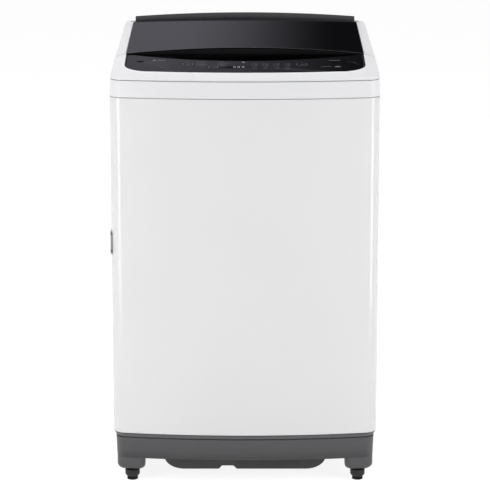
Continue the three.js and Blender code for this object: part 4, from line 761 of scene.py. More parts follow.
def levels(profile: Sequence[Pair], cuts: Sequence[tuple[int, float]] = ()) -> Array:
    """The plan outline at several (inset, height) pairs, one row each, with extra points at the cuts."""
    return np.stack([lifted(PLAN.outline(inset, cuts), height) for inset, height in profile])


def rounded(points: Sequence[Sequence[float]], radius: float | Sequence[float], closed: bool = False,
            steps: int = 3) -> Array:
    """Rounds the corners of a path, in the plane or in space.

    Each corner becomes a quadratic curve between the points that lie a radius away on its two legs,
    or 0.45 of a leg away where that is less. The ends of an open path stay.

    Args:
        points: the path's corners.
        radius: one radius for all corners, or one for each.
        closed: whether the last corner joins the first.
        steps: facets of each rounding.

    Returns:
        The points of the rounded path.
    """
    corner = np.asarray(points, float)
    reach = np.broadcast_to(np.asarray(radius, float), len(corner))[:, None]
    back, ahead = np.roll(corner, 1, 0) - corner, np.roll(corner, -1, 0) - corner
    back_length = np.linalg.norm(back, axis=1, keepdims=True)
    ahead_length = np.linalg.norm(ahead, axis=1, keepdims=True)
    first = corner + back / back_length * np.minimum(reach, 0.45 * back_length)
    last = corner + ahead / ahead_length * np.minimum(reach, 0.45 * ahead_length)
    t = np.linspace(0, 1, steps + 1)[None, :, None]
    curve = quadratic(t, first[:, None], corner[:, None], last[:, None])
    width = corner.shape[1]
    if closed:
        return curve.reshape(-1, width)
    return np.concatenate([corner[:1], curve[1:-1].reshape(-1, width), corner[-1:]])


def turned(profile: Sequence[Pair] | Array, x: float, y: float, columns: int = 96) -> Array:
    """A profile turned about a vertical axis: radius times cosine and sine of the angle.

    Args:
        profile: (radius, height) pairs.
        x: the axis, to the right.
        y: the axis, to the back.
        columns: points round the axis.

    Returns:
        Points of shape (pairs, columns, 3).
    """
    radius, height = np.asarray(profile, float).T[:, :, None]
    angle = round_angles(columns)
    return spread(radius * np.cos(angle) + x, radius * np.sin(angle) + y, height)


def rounded_rectangle(x: float, y: float, width: float, length: float, radius: float,
                      steps: int = 6) -> Array:
    """A rectangle with quarter-circle corners, anticlockwise.

    Args:
        x: its centre, to the right.
        y: its centre, to the back.
        width: its size along X.
        length: its size along Y.
        radius: radius of its corners.
        steps: facets of each corner.

    Returns:
        Points of shape (n, 2).
    """
    half_x, half_y = width / 2 - radius, length / 2 - radius
    return np.concatenate([
        arc(x + sx * half_x, y + sy * half_y, radius, start * QUARTER, (start + 1) * QUARTER, steps)
        for sx, sy, start in ((1, -1, -1), (1, 1, 0), (-1, 1, 1), (-1, -1, 2))])


def circle(x: float, y: float, radius: float, columns: int = 48, squeeze: float = 1.0) -> Array:
    """A circle or an ellipse whose length is its width times a squeeze."""
    angle = round_angles(columns)
    return np.stack([x + radius * np.cos(angle), y + squeeze * radius * np.sin(angle)], -1)


def bow(x: Array, half: float, sag: float) -> Array:
    """The rise of an arc over its chord: the root of radius squared less x squared, less its end value."""
    radius = (half ** 2 + sag ** 2) / (2 * abs(sag))
    return np.sign(sag) * (np.sqrt(radius ** 2 - np.asarray(x) ** 2) - (radius - abs(sag)))


@dataclass(frozen=True)
class Slope:
    """A plane that rises towards the back through the line where panel and deck meet."""

    rise: float
    front: float = -0.077
    height: float = 0.860

    def at(self, y: Array | float) -> Array | float:
        """Height of the plane at a distance to the back."""
        return self.height + self.rise * (y - self.front)

    def on(self, outline: Array, height: float | Array = 0.0) -> Array:
        """A plan outline laid on the plane and lifted by a height."""
        return lifted(outline, self.at(outline[:, 1]) + height)


DECK = Slope(23 / 347)
PANEL = Slope(22 / 193)


def lathe(name: str, finish: Finish, profile: Sequence[Pair], x: float, y: float,
          radius: float, closed: bool = False, columns: int = 96) -> Piece:
    """Turns a profile about a vertical axis.

    Args:
        name: the piece's name.
        finish: its finish.
        profile: (radius, height) pairs, anticlockwise; a solid shape starts and ends next to the axis.
        x: the axis, to the right.
        y: the axis, to the back.
        radius: rounding of the profile's corners.
        closed: whether the profile leaves the axis free and closes on itself.
        columns: facets round the axis.

    Returns:
        The new object.
    """
    surface = turned(rounded(profile, radius, closed), x, y, columns)
    maker = MeshMaker()
    return (maker.loop(surface) if closed else maker.solid(surface)).object(name, finish)


def slab(maker: MeshMaker, outline: Array, low: float, high: float, edge: float, tag: int = 0) -> MeshMaker:
    """Adds a plate on the control panel's plane: an outline at four heights, its upper edge chamfered.

    Args:
        maker: the mesh to add to.
        outline: the plate's outline in plan, anticlockwise.
        low: underside over the plane.
        high: top over the plane.
        edge: width of the upper edge's rounding.
        tag: material slot.

    Returns:
        The maker.
    """
    centre = (outline.max(0) + outline.min(0)) / 2
    size = (outline.max(0) - outline.min(0)) / 2
    inner = centre + (outline - centre) * (1 - edge / size)
    middle = centre + (outline - centre) * (1 - 0.3 * edge / size)
    rows = [PANEL.on(line, height) for line, height in (
        (outline, low), (outline, high - edge), (middle, high - 0.3 * edge), (inner, high))]
    return maker.solid(np.stack(rows), tag=tag)


# -------------------- studio


@dataclass(frozen=True)
class Softbox:
    """A rectangular studio lamp."""

    name: str
    place: tuple[float, float, float]
    aim: tuple[float, float, float]
    size: Pair
    watts: float
    mirrored: bool = True

    def build(self) -> None:
        """Makes the lamp and turns it towards its aim."""
        data = bpy.data.lights.new(self.name, "AREA")
        data.shape = "RECTANGLE"
        data.size, data.size_y = self.size
        data.energy = self.watts
        lamp = linked(self.name, data)
        lamp.location = self.place
        lamp.rotation_euler = (Vector(self.aim) - Vector(self.place)).to_track_quat("-Z", "Y").to_euler()
        lamp.visible_camera = False
        lamp.visible_glossy = self.mirrored


@dataclass(frozen=True)
class Studio:
    """The camera, the plain pale floor, the surroundings and the lamps."""

    elevation: float = 13.06
    distance: float = 5.300
    target: tuple[float, float, float] = (0.0, 0.0, 0.4417)
    lens: float = 184.18
    sensor: float = 36.0
    lamps: tuple[Softbox, ...] = (
        Softbox("left_strip", (-1.17, -1.17, 0.98), (-0.25, -0.25, 0.98), (0.36, 1.9), 11.2),
        Softbox("right_strip", (1.35, -0.95, 0.98), (0.25, -0.25, 0.98), (0.36, 1.9), 11.6),
        Softbox("front_softbox", (0.1, -4.4, 2.4), (0.0, 0.0, 0.5), (2.6, 1.8), 6.2),
        Softbox("top_softbox", (-0.3, 0.2, 3.2), (0.0, 0.0, 0.6), (2.6, 2.6), 57.0, mirrored=False),
        Softbox("back_softbox", (0.0, 3.4, 2.0), (0.0, 0.2, 0.5), (2.4, 1.6), 7.0, mirrored=False),
    )
    fill: float = 0.305
    mirror: float = 0.6
    rear_left: float = 0.26
    rear_right: float = 0.005
    rear_top: float = 0.3
    rear: Pair = (0.1, 0.6)
    rear_hue: tuple[float, float, float, float] = (0.99, 0.98, 1.12, 1.0)
    fall: Pair = (-0.042, 0.054)
    rise: Pair = (0.34, 0.52)
    floor_half: float = 30.0

    def build(self) -> None:
        """Builds all of it."""
        scene = bpy.context.scene
        scene.view_settings.view_transform = "Standard"
        data = bpy.data.cameras.new("studio_camera")
        data.lens, data.sensor_width = self.lens, self.sensor
        camera = linked("studio_camera", data)
        tilt = math.radians(self.elevation)
        target = Vector(self.target)
        camera.location = target + Vector((0, -math.cos(tilt), math.sin(tilt))) * self.distance
        camera.rotation_euler = (target - camera.location).to_track_quat("-Z", "Y").to_euler()
        scene.camera = camera
        for lamp in self.lamps:
            lamp.build()
        self.surroundings(scene)
        self.floor()

    def surroundings(self, scene: bpy.types.Scene) -> None:
        """A world that is plain white to look at and lights evenly.

        What gloss mirrors in it is a pale studio all round, except behind the machine, where it falls
        off from a pale left to a dark right.

        Args:
            scene: the scene that gets the world.
        """
        scene.world = bpy.data.worlds.new("studio")
        make = cleared(scene.world)
        rays = make.add("ShaderNodeLightPath").outputs
        parts = make.add("ShaderNodeSeparateXYZ", Vector=make.add("ShaderNodeTexCoord").outputs["Generated"])
        across = make.ramp(parts.outputs["X"], self.fall, (self.rear_left, self.rear_right), smooth=True)
        low = make.ramp(parts.outputs["Z"], self.rise, (1.0, self.rear_top), smooth=True)
        behind = make.ramp(parts.outputs["Y"], self.rear, smooth=True)
        mirror = make.mix(behind, self.mirror, make.math("MULTIPLY", across, low))
        dull = make.mix(rays["Is Glossy Ray"], self.fill, mirror)
        seen = make.math("MAXIMUM", rays["Is Camera Ray"], rays["Is Transmission Ray"])
        cool = make.math("MULTIPLY", behind, rays["Is Glossy Ray"])
        sky = make.add("ShaderNodeBackground", Color=make.mix_colours(cool, (1, 1, 1, 1), self.rear_hue),
                       Strength=make.mix(seen, dull, 1.0))
        make.link(sky.outputs[0], make.add("ShaderNodeOutputWorld").inputs[0])

    def floor(self) -> None:
        """A wide white floor that keeps the object's shadow and looks white from above."""
        ends = np.array([-self.floor_half, self.floor_half])
        MeshMaker().grid(spread(ends, ends[:, None], 0.0)).object("studio_floor", STUDIO_FLOOR)


@dataclass(frozen=True)
class FloorFinish:
    """A matt white floor; what is seen of it is part its own even white and part its lit colour."""

    name: str = "studio_floor"
    white: Pair = (0.86, 0.88)
    lift: float = 0.87
    share: float = 0.40

    def material(self) -> bpy.types.Material:
        """Builds the material: a matt surface plus a little light of its own for camera rays.

        Returns:
            The material.
        """
        material = bpy.data.materials.new(self.name)
        make = cleared(material)
        place = make.add("ShaderNodeTexCoord").outputs["Object"]
        grain = make.add("ShaderNodeGroup", node_tree=EFFECTS.grain, Vector=place, Scale=60.0)
        shade = make.ramp(grain.outputs["Height"], (0.0, 1.0), self.white)
        rays = make.add("ShaderNodeLightPath").outputs
        sharp = make.math("MAXIMUM", rays["Is Glossy Ray"], rays["Is Transmission Ray"])
        seen = make.math("MAXIMUM", rays["Is Camera Ray"], sharp)
        lit = make.ramp(seen, (0.0, 1.0), (1.0, self.share))
        matt = make.add("ShaderNodeBsdfDiffuse", Color=make.math("MULTIPLY", shade, lit))
        glow = make.add("ShaderNodeEmission", Strength=make.math("MULTIPLY", seen, self.lift))
        both = make.add("ShaderNodeAddShader", i0=matt.outputs[0], i1=glow.outputs[0])
        make.link(both.outputs[0], make.add("ShaderNodeOutputMaterial").inputs[0])
        return material


STUDIO_FLOOR = FloorFinish()


# -------------------- cabinet and base


@dataclass
class Cabinet:
    """The folded steel cabinet, its corner gussets, its back cover and its side grip."""

    low: float = 0.1083
    high: float = 0.7997
    sheet: float = 0.0008
    flange: float = 0.014
    hem: float = 0.003
    drip: Profile = ((0.0050, 0.1083), (0.0010, 0.1045), (0.0, 0.1064))
    opening_half: float = 0.205
    opening_low: float = 0.135
    opening_high: float = 0.754
    grip_y: float = -0.195
    grip_z: float = 0.500
    grip_half_length: float = 0.037
    grip_half_height: float = 0.015
    gusset_z: Pair = (0.768, 0.770)
    gusset_margin: float = 0.022
    cover_y: float = 0.2689
    bead_half: Pair = (0.133, 0.011)
    bead_span: Pair = (0.27, 0.66)
    bead_count: int = 6
    bead_foot: float = 0.2629
    bead_depth: float = 0.0042
    screw_x: float = 0.197
    screw_heights: tuple[float, ...] = (0.16, 0.34, 0.55, 0.73)
    screw_head: Profile = ((0.0052, 0), (0.0052, 0.0009), (0.0040, 0.0021), (0.0018, 0.0024),
                           (0.0012, 0.0012))

    def build(self) -> None:
        """Builds every piece of the sub-assembly."""
        self.shell()
        self.gussets()
        self.back()
        carried("side_grip", "side_grip_cup", WHITE_MOULDING, 0.0012, 3, "cabinet", "white_plastic")

    def shell(self) -> None:
        """The wrapped sheet: the plan outline carried up a profile with folded rims, less two openings."""
        profile = rounded([(self.flange, self.low), *self.drip, (0, self.high), (self.flange, self.high)],
                          (0, 0.0012, 0.0007, 0.0010, self.hem, 0), steps=6)
        low = profile[:, 1] < self.opening_low
        bottom, top = profile[low], profile[~low]
        stops = (self.opening_low, self.grip_z - self.grip_half_height, self.grip_z + self.grip_half_height,
                 self.opening_high)
        rows = np.concatenate([bottom, [(0.0, z) for z in stops], top])
        surface = levels(rows, PLAN.cuts((self.opening_half, -self.opening_half),
                                         (self.grip_y - self.grip_half_length,
                                          self.grip_y + self.grip_half_length)))
        ring = np.concatenate([surface, surface[:, :1]], 1)
        centre = (ring[:-1, :-1] + ring[1:, :-1] + ring[:-1, 1:] + ring[1:, 1:]) / 4
        x, y, z = centre[..., 0], centre[..., 1], centre[..., 2]
        behind = (y > PLAN.back_from) & (abs(x) < self.opening_half) & (z > self.opening_low) \
            & (z < self.opening_high)
        grip = (x < -PLAN.back_from) & (abs(y - self.grip_y) < self.grip_half_length) \
            & (abs(z - self.grip_z) < self.grip_half_height)
        shell = MeshMaker().grid(surface, wrap_columns=True, keep=~(behind | grip)) \
            .object("cabinet_shell", WHITE_PAINT)
        show(walled(shell, self.sheet), "cabinet", "white_steel", "cabinet")

    def gussets(self) -> None:
        """Plates across the corners: the part of the outline that lies beyond a slanting line."""
        maker = MeshMaker()
        outline = PLAN.outline(self.sheet)
        for sx, sy in CORNERS.values():
            rod = np.array([sx * ROD_PLACE[0], TUB_Y + sy * ROD_PLACE[1]])
            reach = (outline - rod) @ np.array([sx, sy]) / math.sqrt(2)
            plate = stretch_of(outline, reach > -self.gusset_margin)
            maker.solid(np.stack([lifted(plate, z) for z in self.gusset_z]))
        show(bevelled(maker.object("corner_gussets", ZINC_STEEL), 0.0004, 1), "cabinet", "bright_steel")

    def back(self) -> None:
        """The pressed back cover, with stiffening beads and screws.

        A bead's height is a flat-topped curve along it times a power of the cosine across it; its
        breadth tapers in the same way at its ends. A screw is a turned head laid to point backwards.
        """
        carried("back_cover", "back_cover_pressed", ZINC_STEEL, 0.0016, 3, "cabinet", "bright_steel")
        beads, screws = MeshMaker(), MeshMaker()
        across, along = np.meshgrid(np.linspace(-1, 1, 9), np.linspace(-1, 1, 41), indexing="ij")
        half, breadth = self.bead_half
        swell = np.clip(1 - abs(along) ** 14, 0, 1) ** 0.5 * np.cos(across * QUARTER) ** 1.3
        taper = across * breadth * np.clip(1 - abs(along) ** 10, 0.02, 1) ** 0.5
        for height in np.linspace(*self.bead_span, self.bead_count):
            beads.grid(spread(-along * half, self.bead_foot + self.bead_depth * swell, height + taper))
        head = turned(self.screw_head, 0, 0, 20)
        for x in (-self.screw_x, self.screw_x):
            for height in self.screw_heights:
                screws.solid(laid_back(head, x, self.cover_y - 0.0001, height))
        show(beads.object("back_cover_beads", ZINC_STEEL), "cabinet", "bright_steel")
        show(screws.object("back_cover_screws", ZINC_STEEL), "cabinet", "bright_steel")


@dataclass
class Base:
    """The moulded base ring with its legs, the trough under it and the four levelling feet."""

    bottom: float = 0.050
    top: float = 0.108
    wall: float = 0.003
    rest: float = 0.014
    face: Profile = ((0.0070, 0.0500), (0.0053, 0.0934), (0.0080, 0.0939), (0.0080, 0.0957),
                     (0.0050, 0.0961))
    lip: Profile = ((0.0050, 0.0961), (0.0047, 0.0985), (0.0038, 0.1006), (0.0016, 0.1026),
                    (0.0012, 0.1034), (0.0030, 0.1040), (0.0056, 0.1043), (0.0060, 0.1080))
    leg_inner: float = 0.205
    leg_sole: Pair = (0.015, 0.0115)
    leg_face: Pair = (0.0070, 0.0075)
    leg_low: float = 0.0221
    leg_high: float = 0.090
    leg_corner: float = 0.016
    bore: Pair = (0.0068, 0.0640)
    trough_half: Pair = (0.166, 0.235)
    trough_curve: float = 0.041
    trough_low: float = 0.022
    trough_high: float = 0.0497
    notch: tuple[float, float, float] = (-0.0355, 0.0185, 0.007)
    channel: Pair = (-0.196, -0.188)
    foot: Pair = (0.232, 0.227)
    pad_radius: float = 0.011
    pad_top: float = 0.0067
    flange_radius: float = 0.015
    flange_low: float = 0.007
    flange_high: float = 0.0217
    stud_radius: float = 0.006
    stud_top: float = 0.0617
    thread_pitch: float = 0.0015
    grip_ribs: int = 24

    def build(self) -> None:
        """Builds every piece of the sub-assembly."""
        self.ring()
        self.trough()
        for name, (sx, sy) in CORNERS.items():
            self.foot_pieces(name, sx * self.foot[0], sy * self.foot[1])

    def ring(self) -> None:
        """The base ring: the plan outline carried up a profile with a seam groove and a flared lip, the lip
        in a lighter grey of painted light.

        Inside it the profile returns over the rest flange and down the inner wall, so it is closed.
        The four legs carry on the ring's own face round the corners.
        """
        face = np.array(self.face)
        lip = rounded(self.lip, 0.0006, steps=2)
        inside = np.array([(self.rest, self.top), (self.rest, self.top - self.wall),
                           (face[1, 0] + self.wall, self.top - self.wall),
                           (face[0, 0] + self.wall, self.bottom)])
        # The flared lip takes the lighter grey, painted light.
        maker = MeshMaker().grid(levels(face), wrap_columns=True).grid(levels(lip), wrap_columns=True, tag=1)
        maker.grid(levels(np.concatenate([lip[-1:], inside, face[:1]])), wrap_columns=True)
        for sx, sy in CORNERS.values():
            self.leg(maker, sx, sy)
        ring = merged(maker.object("base_ring", BASE_GREY, BASE_LIP_LIT, angle=40))
        show(ring, "cabinet", "grey_plastic", "base_frame")

    def corner_loop(self, inset: float, edge: float, sy: int, steps: int = 48) -> Array:
        """A leg's outline for the right side: the ring's outline round a corner and two straight sides.

        The outline is sampled evenly by its length between the places where it crosses the two sides;
        each of the other three corners is a quadratic curve.

        Args:
            inset: distance in from the machine's outer face.
            edge: distance of the leg's inner sides from the machine's two centre planes.
            sy: end of the machine, -1 or 1.
            steps: samples along the outline.

        Returns:
            Points of shape (n, 2) with both coordinates positive.
        """
        points = PLAN.outline(inset) * np.array([1, sy])
        run = points[(points[:, 0] > 0) & (points[:, 1] > 0)][::-sy]
        run = np.concatenate([[(0.0, run[0, 1])], run, [(run[-1, 0], 0.0)]])
        length = np.concatenate([[0], np.cumsum(np.linalg.norm(np.diff(run, axis=0), axis=1))])
        side = int(np.argmax(run[:, 0]))
        first = np.interp(edge, run[:side + 1, 0], length[:side + 1])
        last = np.interp(-edge, -run[:, 1], length)
        radius = self.leg_corner
        at = np.concatenate([[first], np.linspace(first + radius, last - radius, steps), [last]])
        path = np.stack([np.interp(at, length, run[:, 0]), np.interp(at, length, run[:, 1])], -1)
        inner, begin, end = np.array([edge, edge]), path[0], path[-1]
        down, across = np.array([0.0, radius]), np.array([radius, 0.0])
        t = np.linspace(0, 1, 9)[:, None]
        bends = [quadratic(t, path[-2], end, end - across), quadratic(t, inner + across, inner, inner + down),
                 quadratic(t, begin - down, begin, path[1])]
        return np.concatenate([path[2:-2], *bends])

    def leg(self, maker: MeshMaker, sx: int, sy: int) -> None:
        """One leg: the corner loop carried up a quarter ellipse and a straight side, and a bore for the foot.

        Args:
            maker: the mesh to add to.
            sx: side of the machine, -1 or 1.
            sy: end of the machine, -1 or 1.
        """
        turn = np.linspace(0, QUARTER, 9)
        face, behind = self.leg_face
        curve = np.stack([face + self.leg_sole[0] * (1 - np.sin(turn)),
                          self.leg_low + self.leg_sole[1] * (1 - np.cos(turn))], -1)
        profile = np.concatenate([curve, [(face, self.bottom), (behind, self.bottom + 0.0003),
                                          (behind, self.leg_high)]])
        side = np.array([sx, sy])
        rows = [lifted(self.corner_loop(inset, self.leg_inner + inset - face, sy) * side, height)
                for inset, height in profile]
        centre = side * np.array(self.foot)
        away = rows[0][:, :2] - centre
        ring = centre + self.bore[0] * away / np.linalg.norm(away, axis=1, keepdims=True)
        bore = [lifted(ring, self.bore[1]), lifted(ring, self.leg_low)]
        maker.solid(np.stack(bore + rows), flip=sx < 0)

    def trough(self) -> None:
        """The trough under the ring: a flat floor whose two ends curve up, with a cable channel in front.

        Along X the height is a quarter ellipse at each end; along Y the front and rear walls meet the
        floor in small curves; the channel is a trapezoid that runs back from the front wall.
        """
        half, length = self.trough_half
        turn = np.linspace(0, QUARTER, 13)[1:]
        end = half - self.trough_curve + self.trough_curve * np.sin(turn)
        place, width, height = self.notch
        flat = np.linspace(-1, 1, 81) * (half - self.trough_curve)
        edges = place + np.array([-width, height - width, width - height, width])
        x = np.concatenate([-end[::-1], np.sort(np.concatenate([flat, edges])), end])
        over = np.clip(abs(x) - (half - self.trough_curve), 0, None) / self.trough_curve
        tall = self.trough_high - self.trough_low
        floor = self.trough_low + tall * (1 - np.sqrt(np.clip(1 - over ** 2, 0, 1)))
        channel = self.trough_low + np.clip(width - abs(x - place), 0, height)
        near, far, wall = 0.0009, 0.003, 0.1
        y = np.array([-length, -length, -length + near, -length + far, *self.channel, 0.0, 0.1,
                      length - far, length - near, length, length])
        lift = np.array([wall, far, near, *[0] * 6, near, far, wall])
        depth = np.interp(y, self.channel, (1.0, 0.0))[:, None]
        low = np.maximum(floor, self.trough_low + (channel - self.trough_low) * depth)
        z = np.minimum(low + lift[:, None], self.trough_high)
        surface = spread(x, y[:, None], z)
        trough = merged(MeshMaker().grid(surface, flip=True).object("bottom_trough", TROUGH_GREY))
        show(walled(trough, 0.0022), "cabinet", "grey_plastic", "bottom_cover")

    def foot_pieces(self, name: str, x: float, y: float) -> None:
        """One foot and its pad.

        The foot is a turned profile whose flange loses a low cosine of the angle from its radius, for
        the grip ribs; the stud above it carries a saw-tooth thread.

        Args:
            name: the corner's name.
            x: the foot's axis.
            y: the foot's axis.
        """
        columns = 96
        low, high, brim, edge = self.flange_low, self.flange_high, self.flange_radius, self.pad_radius
        plain = rounded([(0.004, low), (edge + 0.001, low), (brim, low + 0.004), (brim, high),
                         (self.stud_radius, high)], 0.001)
        turns = np.arange(high + 0.001, self.stud_top - 0.001, self.thread_pitch / 2)
        depth = np.where(np.arange(len(turns)) % 2, 0.0, 0.0007)
        thread = np.stack([self.stud_radius - depth, turns], -1)
        surface = turned(np.concatenate([plain, thread, [(0.0052, self.stud_top)]]), x, y, columns)
        away = surface[..., :2] - np.array([x, y])
        radius = np.linalg.norm(away, axis=-1, keepdims=True)
        rib = -0.0005 * (0.5 - 0.5 * np.cos(self.grip_ribs * round_angles(columns)))[None, :, None]
        surface[..., :2] += away / radius * (rib * (radius > brim - 0.0008))
        show(MeshMaker().solid(surface).object(f"levelling_foot_{name}", FOOT_GREY), f"foot_{name}",
             "grey_plastic", f"foot_{name}")
        groove = edge - 0.0006
        pad = lathe(f"rubber_pad_{name}", RUBBER,
                    [(0.003, 0.0004), (0.007, 0.0), (edge, 0.0), (edge, 0.0024), (groove, 0.003),
                     (groove, 0.0038), (edge, 0.0044), (edge, self.pad_top), (0.003, self.pad_top)],
                    x, y, 0.0005)
        show(pad, f"foot_{name}", "black_rubber", f"foot_pad_{name}")


# -------------------- lid


@dataclass
class Lid:
    """The crowned glass lid and the dark frame under it."""

    half: float = 0.2427
    rear_half: float = 0.2407
    front: float = -0.077
    front_sag: float = 0.027
    rear: float = 0.244
    corner: float = 0.010
    proud: float = 0.002
    crown: float = 0.0065
    thickness: float = 0.004

    def build(self) -> None:
        """Builds every piece of the sub-assembly."""
        self.glass()
        carried("lid_frame", "lid_inner_frame", LID_FRAME_BLACK, 0.0007, 2, "lid", "dark_plastic")

    def half_at(self, y: Array) -> Array:
        """Half the glass's width at a distance to the back: it narrows a little towards the rear."""
        return np.interp(y, (self.front, self.rear), (self.half, self.rear_half))

    def surface(self, drop: float) -> Array:
        """A face of the glass.

        Each row narrows with its distance to the back. The height is that of the deck plus an arc over
        the width; the front edge is an arc that curves back, and the rear edge ends in quarter circles.

        Args:
            drop: distance under the upper face.

        Returns:
            Points of shape (rows, columns, 3), rows from front to rear.
        """
        turn = np.linspace(0, QUARTER, 9)[1:]
        corner = self.half - self.corner + self.corner * np.sin(turn)
        x = np.concatenate([-corner[::-1], np.linspace(-1, 1, 121) * (self.half - self.corner), corner])
        front = self.front + bow(x, self.half, self.front_sag)
        over = np.clip(abs(x) - (self.half - self.corner), 0, self.corner)
        rear = self.rear - self.corner + np.sqrt(self.corner ** 2 - over ** 2)
        share = np.linspace(0, 1, 61)[:, None]
        y = front + share * (rear - front)
        wide = x * self.half_at(y) / self.half
        z = DECK.at(y) + self.proud - drop + bow(wide, self.half + self.thickness, self.crown)
        return np.stack([wide, y, z], -1)

    def glass(self) -> None:
        """The glass pane: two faces joined by a wall along their border; its rounded edges are a paler grey
        as a painted highlight and its wall a dull near-black as painted shade.
        """
        over, under = self.surface(0), self.surface(self.thickness)
        maker = MeshMaker().grid(over).grid(under, flip=True)
        # The wall round the border takes the near-black dull finish, painted shade.
        maker.grid(np.stack([border(under), border(over)]), wrap_columns=True, tag=2)
        pane = maker.object("lid_pane", SMOKED_GLASS, GLASS_EDGE_HIGHLIGHT, GLASS_WALL_SHADE)
        pane = bevelled(merged(pane), 0.0013, 4, 40)
        # The bevel takes the paler grey, a painted highlight along the rounded edges.
        pane.modifiers["edge_rounding"].material = 1
        show(pane, "lid", "tinted_glass", "lid_glass")


LID = Lid()


# -------------------- top cover and control panel


LEAN_SHIFT = (0.002, 0.008)
LEAN_BACK = (-0.25, 0.48)
LEAN_UP = (0.8004, 0.056)
LEAN_OUT = (0.2497, 0.0203)


def leaned(points: Array) -> Array:
    """Moves points of the top mouldings in towards the middle, most at the rear and at the top.

    The shift is a straight line over the distance to the back, times the share of the height between
    the cabinet's top and the deck, times the share of the way from the lid's recess to the side.

    Args:
        points: points of shape (..., 3).

    Returns:
        The moved points.
    """
    x, y, z = points[..., 0], points[..., 1], points[..., 2]
    reach = LEAN_SHIFT[0] + LEAN_SHIFT[1] * ramped(y, *LEAN_BACK)
    share = ramped(z, *LEAN_UP) * ramped(abs(x), *LEAN_OUT)
    return np.stack([x - np.sign(x) * reach * share, y, z], -1)


def lean(piece: Piece) -> Piece:
    """Leans a piece's mesh, see leaned.

    Args:
        piece: the piece.

    Returns:
        The piece.
    """
    points = np.empty(3 * len(piece.data.vertices))
    piece.data.vertices.foreach_get("co", points)
    piece.data.vertices.foreach_set("co", leaned(points.reshape(-1, 3)).ravel())
    piece.data.update()
    return piece


@dataclass
class TopCover:
    """The white top moulding, the dark pocket and hinge cover in it, and its trim lips."""

    band_half: float = 0.238
    band_front: float = 0.260
    band_back: float = 0.269
    band_top: float = 0.900
    band_sag: float = 0.0085
    band_low: float = 0.8679
    seam: Profile = ((0.0007, 0.8010), (0.0007, 0.7984), (0.0018, 0.7984), (0.0018, 0.8010))
    crease: Profile = ((0.0003, 0.8351), (0.0003, 0.8338), (0.0014, 0.8338), (0.0014, 0.8351))
    joint_y: float = -0.0775
    joint_start: float = 0.2475
    joint_reach: float = 0.0185
    joint_bend: float = 0.0175
    joint: Profile = ((-0.0006, -0.0003), (-0.0006, 0.00007), (0.0006, 0.00007), (0.0006, -0.0003))
    rim_run: Pair = (-0.0765, 0.2435)
    rim_gap: float = 0.0012
    rim_outer: float = 0.2469
    rim_high: float = 0.0010
    rim_low: float = -0.004

    def build(self) -> None:
        """Builds every piece of the sub-assembly."""
        for node, name in (("top_cover", "top_moulding"), ("control_housing", "panel_moulding")):
            show(lean(refined(node, name, WHITE_MOULDING, 0.0012, 3)), "cabinet", "white_plastic", node)
        carried("finger_pocket", "finger_pocket_liner", POCKET_BLACK, 0.0008, 2, "cabinet", "dark_plastic")
        self.hinge_band()
        self.joints()
        self.lid_rims()

    def joints(self) -> None:
        """Grey strips of painted shadow: a ring in the seam under the cover, one in the gap under the panel
        and two along the joints beside the lid.

        The first is a ring round the machine; the second follows the front part of the outline; the
        last two are slim strips that curve forward from the lid's corners to the sides.
        """
        # A grey ring of painted shadow in the seam between the cabinet and the cover.
        show(MeshMaker().loop(levels(self.seam)).object("cover_seam_shadow", SEAM_SHADOW_GREY), "cabinet", "grey_plastic")
        # A grey strip of painted shadow in the crease under the panel.
        front = PLAN.outline()[:, 1] < self.joint_y
        rows = [lifted(stretch_of(PLAN.outline(inset), front), height) for inset, height in self.crease]
        maker = MeshMaker().solid(leaned(np.stack(rows, 1)))
        # Two grey strips of painted shade along the joints beside the lid.
        t = np.linspace(0, 1, 13)
        for side in (-1, 1):
            x = side * (self.joint_start + self.joint_reach * t)
            y = self.joint_y - self.joint_bend * t ** 1.6
            strip = [PANEL.on(np.stack([x, y + dy], -1), high) for dy, high in self.joint]
            maker.solid(leaned(np.stack(strip, 1)), flip=side > 0)
        show(maker.object("panel_joint_shadows", CREASE_SHADE_GREY), "cabinet", "grey_plastic")

    def lid_rims(self) -> None:
        """White rims that fill the deck's recess beside the lid, from its edge to the recess's wall."""
        y = np.linspace(*self.rim_run, 41)
        inner = LID.half_at(y) + self.rim_gap
        share = np.array([0, 0, 0.12, 0.35, 0.65, 0.88, 1, 1])
        high = np.array([self.rim_low, 0, 0.7, 1, 1, 0.7, 0, self.rim_low])
        high[1:-1] = high[1:-1] * self.rim_high
        maker = MeshMaker()
        for side in (-1, 1):
            x = side * (inner[:, None] + share * (self.rim_outer - inner)[:, None])
            maker.solid(spread(x, y[:, None], DECK.at(y)[:, None] + high), flip=side > 0)
        show(maker.object("lid_recess_rims", WHITE_MOULDING), "cabinet", "white_plastic")

    def hinge_band(self) -> None:
        """The crowned bar behind the lid: a rounded section carried along an arc that sags to its ends."""
        x = np.linspace(-self.band_half, self.band_half, 97)
        top = self.band_top - self.band_sag + bow(x, self.band_half, self.band_sag)
        front, back = self.band_front, self.band_back
        share = rounded([(0, 0), (1, 0), (1, 1), (0, 1)], (0.02, 0.02, 0.3, 0.3), closed=True, steps=4)
        y = front + share[:, 0] * (back - front)
        z = self.band_low + share[:, 1][None] * (top - self.band_low)[:, None]
        band = MeshMaker().solid(spread(x[:, None], y, z)).object("hinge_band", BAND_GREY)
        show(bevelled(band, 0.0012, 3), "cabinet", "dark_plastic", "hinge_cover")


class KeyShape(Enum):
    """The plan shapes of the keys, each with its width, length and corner radius."""

    ROUND = (0.026, 0.026, 0.013)
    WIDE = (0.024, 0.018, 0.004)
    SMALL = (0.017, 0.010, 0.003)


